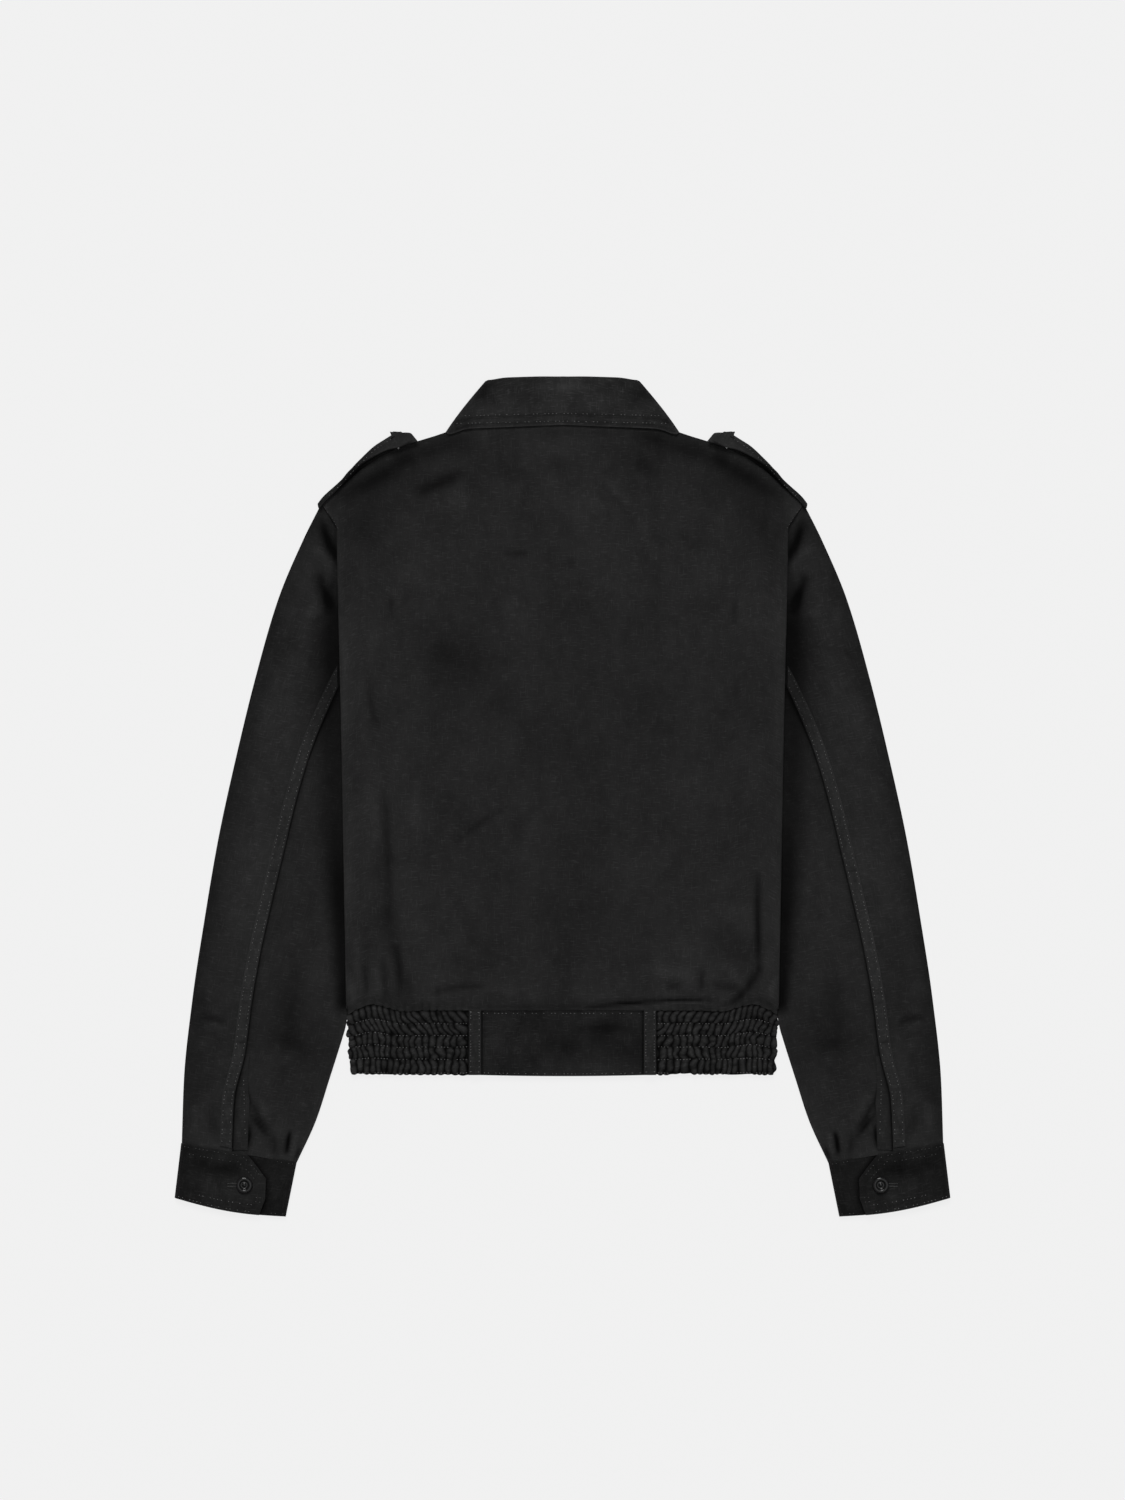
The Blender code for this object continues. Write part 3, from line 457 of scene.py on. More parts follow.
@dataclass(frozen=True)
class CottonFinish:
    """Washed black cotton: plain weave with slubs, cloudy colour, rubbed edges with painted sheen,
    painted shade and light.
    """

    name: str
    offset: Pair = (0.0, 0.0)
    shade: float = 0.435
    deep: float = 0.0006
    pale: float = 0.034
    cloud: float = 0.34
    patch: float = 0.22
    slub: float = 0.24
    wear_and_sheen: float = 0.12
    thread: float = 0.00052
    roughness: float = 0.88
    cloud_scale: Pair = (17.0, 11.0)
    patch_scale: Pair = (80.0, 62.0)
    weft_scale: Pair = (105.0, 760.0)
    warp_scale: Pair = (800.0, 85.0)
    grit_scale: float = 520.0
    soft_scale: float = 95.0
    sway: float = 0.0007

    def build(self) -> bpy.types.Material:
        """Make the cotton: cloudy colour, weave, slubs, rubbed edges with painted sheen, and
        painted shade and light.

        Returns:
            The material.
        """
        graph = Graph(self.name)
        plain = graph.place((1.0, 1.0), self.offset)
        cloud = graph.noise(graph.place(self.cloud_scale, self.offset), 1.0, 4.0, 0.6)
        patch = graph.noise(graph.place(self.patch_scale, self.offset), 1.0, 3.0, 0.65)
        weft = graph.noise(graph.place(self.weft_scale, self.offset), 1.0, 2.0, 0.6)
        warp = graph.noise(graph.place(self.warp_scale, self.offset), 1.0, 2.0, 0.6)
        grit = graph.noise(plain, self.grit_scale, 2.0, 0.6)
        slubs = graph.step(weft, 0.55, 0.78) + graph.step(warp, 0.57, 0.80) * 0.8
        turn = math.pi / self.thread
        waviness = graph.node("ShaderNodeVectorMath", {"operation": "MULTIPLY_ADD"},
                              {0: self._sway(graph), 1: (self.sway, self.sway, 0.0), 2: plain})
        axes = graph.node("ShaderNodeVectorMath", {"operation": "SCALE"},
                          {0: waviness, "Scale": turn})
        split = graph.node("ShaderNodeSeparateXYZ", {}, {0: axes}, "X")
        across = split.wave()
        along = Signal(graph, split.socket.node.outputs["Y"]).wave()
        weave = across * along
        wear_and_sheen = graph.node("ShaderNodeAttribute", {"attribute_name": "wear_and_sheen"}, output="Fac")
        dye = graph.node("ShaderNodeAttribute", {"attribute_name": "dye"}, output="Fac")
        # Rubbed edges add paler colour and a painted edge sheen; the tone is then scaled by painted
        # shade and light.
        tone = (self.shade + (cloud - 0.5) * self.cloud + (patch - 0.5) * self.patch
                + (slubs - 0.12) * self.slub + (grit - 0.5) * 0.12 + weave * 0.08
                + wear_and_sheen * self.wear_and_sheen) * (1.0 + dye)
        colour = graph.tones(tone, self.deep, self.pale, True)
        soft = graph.bump(graph.noise(plain, self.soft_scale, 3.0, 0.55), 0.35, 0.0011)
        return graph.finish({
            "Base Color": colour, "Normal": graph.bump(weave + slubs * 0.8, 0.55, 0.00016, soft),
            "Roughness": self.roughness - slubs * 0.06, "Specular IOR Level": 0.03,
            "Sheen Weight": 0.012, "Sheen Roughness": 0.4})

    def _sway(self, graph: Graph) -> Signal:
        """Return a soft colour noise that bends the threads a little."""
        return graph.node("ShaderNodeTexNoise", {"noise_dimensions": "2D"},
                          {"Vector": graph.place((1.0, 1.0), self.offset), "Scale": 260.0,
                           "Detail": 1.0}, "Color")


@dataclass(frozen=True)
class ThreadFinish:
    """Black sewing thread, a little paler and smoother than the cloth."""

    name: str = "black_thread"
    tone: float = 0.12

    def build(self) -> bpy.types.Material:
        """Make the thread, with a fine twist.

        Returns:
            The material.
        """
        graph = Graph(self.name)
        place = graph.node("ShaderNodeTexCoord", output="Object")
        twist = graph.node("ShaderNodeTexNoise", {}, {"Vector": place, "Scale": 900.0}, "Fac")
        colour = graph.tones(graph.step(twist, 0.35, 0.65), self.tone * 0.6, self.tone * 1.2)
        return graph.finish({"Base Color": colour, "Roughness": 0.55, "Sheen Weight": 0.1,
                             "Normal": graph.bump(twist, 0.5, 0.0001)})


@dataclass(frozen=True)
class ButtonFinish:
    """Polished black plastic with faint handling marks."""

    name: str = "button_black"

    def build(self) -> bpy.types.Material:
        """Make the plastic, with a little haze.

        Returns:
            The material.
        """
        graph = Graph(self.name)
        place = graph.node("ShaderNodeTexCoord", output="Object")
        haze = graph.node("ShaderNodeTexNoise", {}, {"Vector": place, "Scale": 420.0,
                                                     "Detail": 3.0}, "Fac")
        colour = graph.node("ShaderNodeMix", {"data_type": "RGBA"}, {
            "Factor": haze, 6: (0.0035, 0.0035, 0.0036, 1.0), 7: (0.008, 0.008, 0.0082, 1.0)}, 2)
        return graph.finish({"Base Color": colour, "Roughness": 0.06 + haze * 0.12,
                             "Specular IOR Level": 0.26})


# Cloth shells


@dataclass
class Panel:
    """A cloth panel as a grid of points on its middle surface; rows run across the cloth."""

    points: Array
    # Rubbed edges, which also get a painted edge sheen: their rows, columns and reach.
    wear_and_sheen_rows: tuple[int, ...] = ()
    wear_and_sheen_columns: tuple[int, ...] = ()
    wear_and_sheen_reach: float = 2.2
    # Painted shade and light from folds, shadows and contact shade, with some uneven tone.
    dye: Value = 0.0
    even: bool = True

    def mirrored(self, side: Side) -> Panel:
        """Put the panel on one side, still facing up.

        Args:
            side: The side asked for.

        Returns:
            The panel itself on the right, its mirror image on the left.
        """
        if side is Side.RIGHT:
            return self
        flipped = self.points[:, ::-1] * MIRROR
        columns = self.points.shape[1]
        wear_and_sheen = tuple(columns - 1 - column % columns for column in self.wear_and_sheen_columns)
        dye = np.broadcast_to(self.dye, self.points.shape[:2])[:, ::-1]
        return Panel(flipped, self.wear_and_sheen_rows, wear_and_sheen, self.wear_and_sheen_reach, dye, self.even)

    def across(self) -> Array:
        """Return each point's distance along its row of cloth."""
        steps = np.linalg.norm(np.diff(self.points, axis=1), axis=2)
        return np.pad(np.cumsum(steps, axis=1), ((0, 0), (1, 0)))

    def along(self) -> Array:
        """Return each point's distance along its column of cloth."""
        steps = np.linalg.norm(np.diff(self.points, axis=0), axis=2)
        return np.pad(np.cumsum(steps, axis=0), ((1, 0), (0, 0)))

    def cut(self) -> Triple:
        """Measure the flat cloth.

        Returns:
            Its width, length and area, in metres.
        """
        first = self.points[1:, 1:] - self.points[:-1, :-1]
        second = self.points[1:, :-1] - self.points[:-1, 1:]
        area = np.linalg.norm(np.cross(first, second), axis=2).sum() / 2.0
        width, length = self.across().max(), self.along().max()
        return width * MM, length * MM, min(area, width * length) * MM * MM

    def edge_wear_and_sheen(self) -> Array:
        """Find the rubbed edges, which also get a painted edge sheen.

        Returns:
            How rubbed and sheen-painted each point is: 1 on such an edge, fading to 0 beside it.
        """
        across, along = self.across(), self.along()
        wear_and_sheen = np.zeros(across.shape)
        for column in self.wear_and_sheen_columns:
            wear_and_sheen = np.maximum(wear_and_sheen, np.exp(-abs(across - across[:, [column]]) / self.wear_and_sheen_reach))
        for row in self.wear_and_sheen_rows:
            wear_and_sheen = np.maximum(wear_and_sheen, np.exp(-abs(along - along[[row]]) / self.wear_and_sheen_reach))
        return wear_and_sheen

    def lay(self, name: str, wall: float) -> Piece:
        """Make the panel as a closed cloth wall.

        Args:
            name: The piece's name.
            wall: The cloth's thickness.

        Returns:
            The finished mesh object, with its cloth coordinates, rubbed edges with painted sheen,
            and painted shade and light.
        """
        rows, columns = self.points.shape[:2]
        bpy.ops.object.select_all(action="DESELECT")
        bpy.ops.mesh.primitive_grid_add(x_subdivisions=columns - 1, y_subdivisions=rows - 1,
                                        size=1.0)
        piece = bpy.context.object
        piece.name = name
        piece.data.name = name
        piece.data.vertices.foreach_set("co", (self.points * MM).ravel())
        corners = np.zeros(len(piece.data.loops), int)
        piece.data.loops.foreach_get("vertex_index", corners)
        across = self.across()
        middle = across[:, [columns // 2]]
        cloth = np.stack((across - middle, self.along()), axis=2).reshape(-1, 2) * MM
        piece.data.uv_layers[0].data.foreach_set("uv", cloth[corners].ravel())
        dye = np.broadcast_to(self.dye, self.points.shape[:2])
        # Point attributes: rubbed edges with a painted edge sheen, and painted shade and light with
        # some uneven tone.
        for kind, values in (("wear_and_sheen", self.edge_wear_and_sheen()), ("dye", np.clip(dye, *SHADE_AND_DYE_LIMITS))):
            made = piece.data.attributes.new(kind, "FLOAT", "POINT")
            made.data.foreach_set("value", np.ascontiguousarray(values, np.float32).ravel())
        shell = piece.modifiers.new("wall", "SOLIDIFY")
        shell.thickness = wall * MM
        shell.offset = 0.0
        shell.use_even_offset = self.even
        bpy.ops.object.modifier_apply(modifier=shell.name)
        bpy.ops.object.shade_smooth_by_angle(angle=CLOTH_SMOOTH)
        return piece


@dataclass(frozen=True)
class Workroom:
    """The finishes, and the way that each finished piece joins the model."""

    cotton: dict[str, bpy.types.Material]
    thread: bpy.types.Material
    dark_and_shaded_thread: bpy.types.Material
    button: bpy.types.Material

    def sew_in(self, panel: Panel, name: str, wall: float, finish: str,
               node: str) -> Piece:
        """Make a cloth piece that stands for a node.

        Args:
            panel: The piece's middle surface.
            name: The piece's name.
            wall: The cloth's thickness.
            finish: Which cotton it is cut from.
            node: The node that it replaces.

        Returns:
            The finished piece.
        """
        piece = panel.lay(name, wall)
        piece.data.materials.append(self.cotton[finish])
        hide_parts(node)
        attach(piece, BODY)
        log.info("%s: %d faces", name, len(piece.data.polygons))
        return piece

    def declare(self, piece: Piece, panel: Panel) -> None:
        """Log the width and length of the flat cloth that a piece was cut from.

        Args:
            piece: The piece.
            panel: Its middle surface.
        """
        width, length, area = panel.cut()
        log.info("%s: cut %.0f x %.0f mm", piece.name, width / MM, length / MM)

    def make(self, panel: Panel, name: str, wall: float, finish: str, node: str, held: Held,
             *rests_on: str) -> Piece:
        """Make a cloth piece that stands for a node, and log the size of its flat cloth.

        Args:
            panel: The piece's middle surface.
            name: The piece's name.
            wall: The cloth's thickness.
            finish: Which cotton it is cut from.
            node: The node that it replaces.
            held: How it lies; not used.
            rests_on: What it lies on; not used.

        Returns:
            The finished piece.
        """
        piece = self.sew_in(panel, name, wall, finish, node)
        self.declare(piece, panel)
        return piece


# Stitches


@dataclass(frozen=True)
class StitchRow:
    """A row of machine stitches along a line seen from above."""

    line: Points
    pitch: float = 3.6
    length: float = 1.0
    thick: float = 0.62
    sunk: float = -0.62
    first: float = 0.4
    sway: Points = ((0.18, 1.7), (0.12, 0.61))

    @classmethod
    def on(cls, side: Side, line: Iterable[Sequence[float]], **sizes: float) -> StitchRow:
        """Return a row on one side, from its line on the +X side."""
        return cls(tuple((side.value * place[0], place[1]) for place in line), **sizes)

    def ends(self) -> Array:
        """Set out the stitches, with a few left sunk in the cloth.

        Returns:
            Each stitch's two ends in plan, shaped (count, 2, 2).
        """
        points = np.array(self.line, float)
        run = np.concatenate(([0.0], np.cumsum(np.hypot(*np.diff(points, axis=0).T))))
        starts = np.arange(self.first, run[-1] - self.length, self.pitch)
        starts = starts[np.sin(starts * 12.9 + 1.0) > self.sunk]
        uneven = sum(reach * np.sin(starts * rate) for reach, rate in self.sway)
        places = np.stack((starts + uneven, starts + uneven + self.length), axis=1)
        return np.stack([np.interp(places, run, points[:, axis]) for axis in (0, 1)], axis=2)


@dataclass
class Needle:
    """Sews rows of stitches onto finished pieces as one joined mesh."""

    workroom: Workroom
    high: float = 60.0
    step: float = 1.6
    segments: int = 6
    rings: int = 4
    raised: float = 0.22
    blunt: float = 0.8

    def sew(self, name: str, rows: Sequence[StitchRow], ground: Sequence[Piece],
            deep: bool = False) -> Piece:
        """Sew rows of stitches.

        Args:
            name: The piece's name.
            rows: The rows, seen from above.
            ground: The pieces that they lie on.
            deep: Whether to use the darker thread, which is dark thread and a shaded copy for
                stitches in painted shade.

        Returns:
            The stitches as one piece.
        """
        trees = [BVHTree.FromObject(piece, bpy.context.evaluated_depsgraph_get())
                 for piece in ground]
        unit, faces = self._stitch()
        points, polygons = [], []
        for row in rows:
            for start, end in row.ends():
                hits = [self._hit(trees, place) for place in (start, end)]
                if None in hits or abs(hits[0][0].z - hits[1][0].z) > self.step * MM:
                    continue
                base = sum(len(part) for part in points)
                points.append(self._laid(unit, hits, row.thick))
                polygons.extend(tuple(base + corner for corner in face) for face in faces)
        mesh = bpy.data.meshes.new(name)
        mesh.from_pydata(np.concatenate(points).tolist(), [], polygons)
        mesh.shade_smooth()
        mesh.materials.append(self.workroom.dark_and_shaded_thread if deep else self.workroom.thread)
        piece = bpy.data.objects.new(name, mesh)
        bpy.context.scene.collection.objects.link(piece)
        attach(piece, BODY)
        log.info("%s: %d stitches", name, len(points))
        return piece

    def _stitch(self) -> tuple[Array, list[tuple[int, ...]]]:
        """Model one stitch.

        Returns:
            Its points, lying along X, and its faces.
        """
        bpy.ops.object.select_all(action="DESELECT")
        bpy.ops.mesh.primitive_uv_sphere_add(segments=self.segments, ring_count=self.rings,
                                             radius=1.0)
        model = bpy.context.object
        points = np.array([tuple(vert.co) for vert in model.data.vertices])
        faces = [tuple(face.vertices) for face in model.data.polygons]
        bpy.data.objects.remove(model)
        return points[:, [2, 0, 1]], faces

    def _hit(self, trees: Sequence[BVHTree], place: Array) -> tuple[Vector, Vector] | None:
        """Find the top of the cloth at a place.

        Args:
            trees: The pieces below.
            place: The place in plan.

        Returns:
            The highest point there and the surface's normal, or None off the cloth.
        """
        start = Vector((place[0], place[1], self.high)) * MM
        found = [tree.ray_cast(start, DOWN)[:2] for tree in trees]
        found = [hit for hit in found if hit[0] is not None]
        return max(found, key=lambda hit: hit[0].z) if found else None

    def _laid(self, unit: Array, hits: list[tuple[Vector, Vector]], thick: float) -> Array:
        """Lay a stitch on the cloth.

        Args:
            unit: One stitch's points, lying along X.
            hits: Point and normal at each of its ends.
            thick: The thread's thickness.

        Returns:
            The stitch's points in their place.
        """
        (start, first), (end, second) = hits
        along = end - start
        up = (first + second).normalized()
        beside = up.cross(along).normalized()
        middle = (start + end) / 2.0 + up * thick * MM * self.raised
        reach = np.sign(unit[:, [0]]) * abs(unit[:, [0]]) ** self.blunt
        return (np.array(middle) + reach * np.array(along) / 2.0
                + unit[:, [1]] * np.array(beside) * thick * MM / 2.0
                + unit[:, [2]] * np.array(up) * thick * MM / 2.0)


# Body


@dataclass
class Back:
    """The one-piece back, blousing over the waistband, its sides turned under on the sleeves."""

    columns: int = 88
    rows: int = 176
    fold_steps: int = 9
    loft: float = 1.0
    over_sleeve: Pair = (-18.0, -1.0)
    blouse: Triple = (0.0, 10.0, 45.0)
    hem_rise: Pair = (-2.0, 11.0)
    shoulder_rise: Pair = (0.0, 25.0)
    shoulder_slope: float = 0.84
    still_edges: Triple = (16.0, 22.0, 7.0)
    pucker: float = 1.1
    pucker_span: Pair = (70.0, 100.0)
    pucker_turn: float = 0.40
    pucker_reach: Triple = (11.0, 9.0, 4.0)
    pucker_dye: float = 0.16
    flat_turn: float = 0.01
    step_beneath: float = 0.15
    armhole: Points = ((225.5, 273.5), (218.0, 263.5), (211.6, 252.0))
    fold_span: Pair = (250.0, 276.0)
    side_ends: tuple[Triple, ...] = (
        (3.0, 1.5, 0.0), (1.5, -2.5, 1.0), (0.2, -6.5, 2.1))
    relief: Relief = Relief(
        creases=folds(
            (-142, 285, -87, 307, 6.5, -2.4, 0, 0.4), (-120, 270, -86, 287, 9, 1.2),
            (66, 318, 92, 304, 7, -0.8), (27, 310, 90, 221, 4.5, 0.9, 8),
            (38, 300, 66, 262, 4, -0.6, 0), (-56, 229.5, -29, 229.5, 3.4, -1.3),
            (-2, 221, 16, 220, 4, -0.8), (-163, 190, -163, 166, 2.6, -1.2),
            (163, 186, 163.5, 162, 2.6, -1.2), (-184, 112, -172, 62, 4, -1, -3),
            (-171, 14, -165.5, -124, 5.4, -1.9, 1.5, 0.3), (-176, -34, -172, -92, 3, -0.7, -1),
            (-178, 10, -177, -60, 5, 0.6), (-158.5, -138, -153, -192, 4.5, -2.4, 1),
            (-140, 16, -136, -46, 6, 1), (-105, -45.5, -50, -8.5, 2.6, -1.2, 1),
            (-70, 2, -60, -30, 3, 0.7), (-125, -188, -73, -181, 3.2, -1.6, 3),
            (-78, -184, -40, -188, 3, 0.8, 2), (185.5, -70, 187, -172, 3.4, -3, -1),
            (187.5, -160, 156, -200, 4.2, -2.8, 4), (20, -200.5, 150, -194, 2.4, -3, 1.8, 0.5),
            (60, -200, 150, -198, 2.2, 1.2, 1.5), (84, -165, 125, -172, 6, 1.3),
            (97, -181, 114, -181, 4.5, -1.8), (133, -164, 131, -187, 2.8, -2),
            (142, -180, 168, -183, 4, -1.8), (150, -160, 178, -190, 3.5, 0.9, 2),
            (-189, -154, -185, -188, 2.8, -2), (-180, -160, -172, -192, 4, 1.1, 2),
            (-206, -164, -195, -197, 2.6, 1.4, 1), (204, -168, 196, -197, 2.8, 1.2, -1),
        ),
        sizes=((105.0, 1.3), (40.0, 0.7), (15.0, 0.2)),
        # Patches of painted shade and light: painted shadows under the shoulders and straps, paler
        # lit body edges, darker along the hem, and some uneven tone.
        fades=folds(
            (-218, 282, -140, 327, 10, -0.66, -3), (-160, 316, -76, 345, 10, -0.50),
            (218, 282, 140, 327, 10, -0.66, 3), (160, 316, 66, 346, 10, -0.50),
            (-206, 262, -120, 316, 20, -0.16), (206, 262, 130, 316, 18, -0.20),
            (-100, 338, -70, 316, 9, -0.14), (-30, 340, -6, 318, 8, 0.10),
            (10, 296, 44, 262, 15, 0.12), (-112, 272, -78, 262, 12, 0.13),
            (-10, 270, 20, 240, 14, -0.10), (100, 250, 150, 236, 10, -0.10),
            (-64, 309, -24, 304, 8, -0.26), (-24, 314, 10, 312, 10, -0.2),
            (62, 322, 92, 303, 9, -0.14), (-205, 268, -176, 236, 16, -0.2),
            (176, 290, 206, 224, 20, -0.22), (122, 222, 152, 204, 16, 0.2),
            (-150, 230, -142, 194, 12, 0.2), (-64, 184, -32, 165, 9, 0.15),
            (-146, 172, -74, 98, 27, -0.24), (-122, 152, -102, 126, 11, -0.14),
            (-74, 100, -40, 78, 14, -0.16), (-166, -98, -160, -152, 9, -0.34),
            (-42, -6, -40, -46, 7, -0.2), (-90, -108, -84, -143, 8, -0.22),
            (-114, -146, -82, -167, 8, -0.22), (26, -92, 104, -142, 24, -0.14),
            (138, -122, 182, -158, 15, -0.3), (-205, 190, -206.5, -30, 7, 0.2),
            (-203, -10, -202, -130, 6, 0.12), (207, 215, 205, 10, 6.5, 0.24),
            (-208.5, 200, -206, 60, 2.6, 0.2), (-190, 120, -186, 40, 6, 0.14),
            (-182, 96, -178, 60, 3, -0.16), (-176, 150, -172, 104, 5, -0.10),
            (182, 60, 178, -40, 7, 0.12), (60, 342, 100, 338, 5, -0.12),
            (-196, -128, -192, -188, 4, 0.20), (-202, -178, -196, -202, 3.2, 0.34),
            (-171, -150, -167, -196, 3.4, -0.36), (-148, -166, -143, -196, 3.6, -0.30),
            (-134, -176, -130, -198, 4, 0.12), (-120, -176, -116, -200, 3, -0.22),
            (196, -140, 194, -192, 4, 0.16), (110, -176, 106, -198, 3.4, 0.14),
            (-84, -200.5, 84, -200.5, 1.6, -0.45), (-40, 346, 60, 346, 5, -0.25),
        ), seed=11)

    def level(self, out: Array, up: Array) -> Array:
        """Lift the upper layer over what lies beneath it.

        Args:
            out: Distances from the centre line.
            up: Distances along Y.

        Returns:
            Its middle level before its relief.
        """
        over_sleeve = ease(*self.over_sleeve, abs(out) - DRAFT.arm_inner(up))
        level = mix(DRAFT.body_level, DRAFT.edge_level, over_sleeve)
        above = up - DRAFT.hem_line(abs(out))
        foot, peak, end = self.blouse
        blouse = ease(foot, peak, above) * (1.0 - ease(peak, end, above))
        level = mix(DRAFT.hem_level, level + self.loft * blouse, ease(*self.hem_rise, above))
        below_shoulder = (DRAFT.top(abs(out)) - up) * self.shoulder_slope
        return mix(DRAFT.shoulder_level, level, ease(*self.shoulder_rise, below_shoulder))

    def hem_puckers(self, out: Array, up: Array) -> Array:
        """Shape the short folds that the shirred band sends up into the back.

        Args:
            out: Distances from the centre line.
            up: Distances along Y.

        Returns:
            Their height in millimetres.
        """
        beside = ease(*self.pucker_span, abs(out))
        above = up - DRAFT.hem_line(abs(out))
        turn = out * self.pucker_turn + 1.6 * swells(out, up * 0.3, 26.0, 31)
        turn = turn + 0.0002 * above * out
        fold = 1.0 - 2.0 * abs(np.sin(turn)) ** 0.8
        usual, uneven, least = self.pucker_reach
        reach = usual + uneven * swells(out, 0.0, 19.0, 33)
        return -self.pucker * beside * fold * np.exp(-above / np.maximum(reach, least))

    def side(self, up: float) -> tuple[float, list[Triple]]:
        """Turn one row under at the body's side.

        Args:
            up: How far up the row lies.

        Returns:
            Where its upper layer ends, and its points from there round and beneath.
        """
        folded = float(1.0 - ease(*self.fold_span, up))
        angle = math.pi * folded
        arc = mix(1.0, math.pi * (DRAFT.edge_level - DRAFT.wrap_level) / 2.0, folded)
        radius = arc / max(angle, self.flat_turn)
        start = float(DRAFT.body_side(up)) - (radius + DRAFT.cloth / 2.0) * math.sin(
            min(angle, math.pi / 2.0))
        if angle < 2.0 * self.flat_turn:
            start = float(DRAFT.body_side(up)) - arc
        level = float(self.level(np.array(start), np.array(up)))
        points = []
        for step in range(1, self.fold_steps + 1):
            turn = max(angle, self.flat_turn) * step / self.fold_steps
            points.append((start + radius * math.sin(turn), up,
                           level - radius * (1.0 - math.cos(turn))))
        last, _, low = points[-1]
        below = float(DRAFT.below_armpit(up))
        for count, (above_pit, below_pit, drop) in enumerate(self.side_ends, start=1):
            if angle < math.pi - self.flat_turn:
                step = self.step_beneath * count
                points.append((last + step * math.cos(angle), up, low - step * math.sin(angle)))
                continue
            reach = min(float(DRAFT.arm_inner(up)) + mix(above_pit, below_pit, below),
                        points[-1][0] - DRAFT.seam_gap)
            points.append((reach, up, DRAFT.wrap_level - drop * below))
        return start, points

    def panel(self) -> Panel:
        """Shape the back with both its sides turned under.

        Returns:
            The panel.
        """
        share = row_shares(self.rows)
        sides = [self.side(up) for up in mix(DRAFT.hem, DRAFT.shoulder[1], share[:, 0])]
        part = shares(self.columns)
        out = part * np.array([side[0] for side in sides])[:, None]
        up = mix(DRAFT.hem_line(out[:1]), DRAFT.top(part * DRAFT.shoulder[0]), share)
        upper = grid_of(out, up, self.level(out, up))
        whole = both_halves(np.concatenate([upper, [side[1] for side in sides]], axis=1))
        edge = self.fold_steps // 2 + len(self.side_ends)
        return Panel(whole, (), (edge, -1 - edge), 1.6, self._fold(whole))

    def _fold(self, whole: Array) -> Array:
        """Raise the folds on the upper layer, none at its edges.

        Args:
            whole: The back's points, changed in place.

        Returns:
            The painted shade and light at each point.
        """
        count = self.fold_steps + len(self.side_ends)
        upper = whole[:, count:-count]
        x, y = upper[..., 0].copy(), upper[..., 1].copy()
        beside, above, hem = self.still_edges
        free = ease(0.0, beside, DRAFT.body_side(y) - abs(x))
        free = free * ease(0.0, above, DRAFT.top(abs(x)) - y)
        near_hem = ease(0.0, hem, y - DRAFT.hem_line(abs(x)))
        puckers = self.hem_puckers(x, y)
        upper[..., 2] += free * (near_hem * self.relief(x, y) + puckers)
        # Painted shade and light on the folds and puckers: darker in troughs, paler on ridges.
        return self.relief.dye(whole[..., 0], whole[..., 1]) + np.pad(
            self.pucker_dye * puckers, ((0, 0), (count, count)))

    def build(self, workroom: Workroom) -> Piece:
        """Make the back and the stitches at its armholes.

        Args:
            workroom: The finishes, and the way into the model.

        Returns:
            The finished piece.
        """
        panel = self.panel()
        piece = workroom.make(panel, "back_panel", DRAFT.cloth, "body", "back", Held.LAID,
                              "front_left", "front_right")
        rows = [StitchRow.on(side, self.armhole) for side in Side]
        Needle(workroom).sew("armhole_stitches", rows, [piece], deep=True)
        return piece


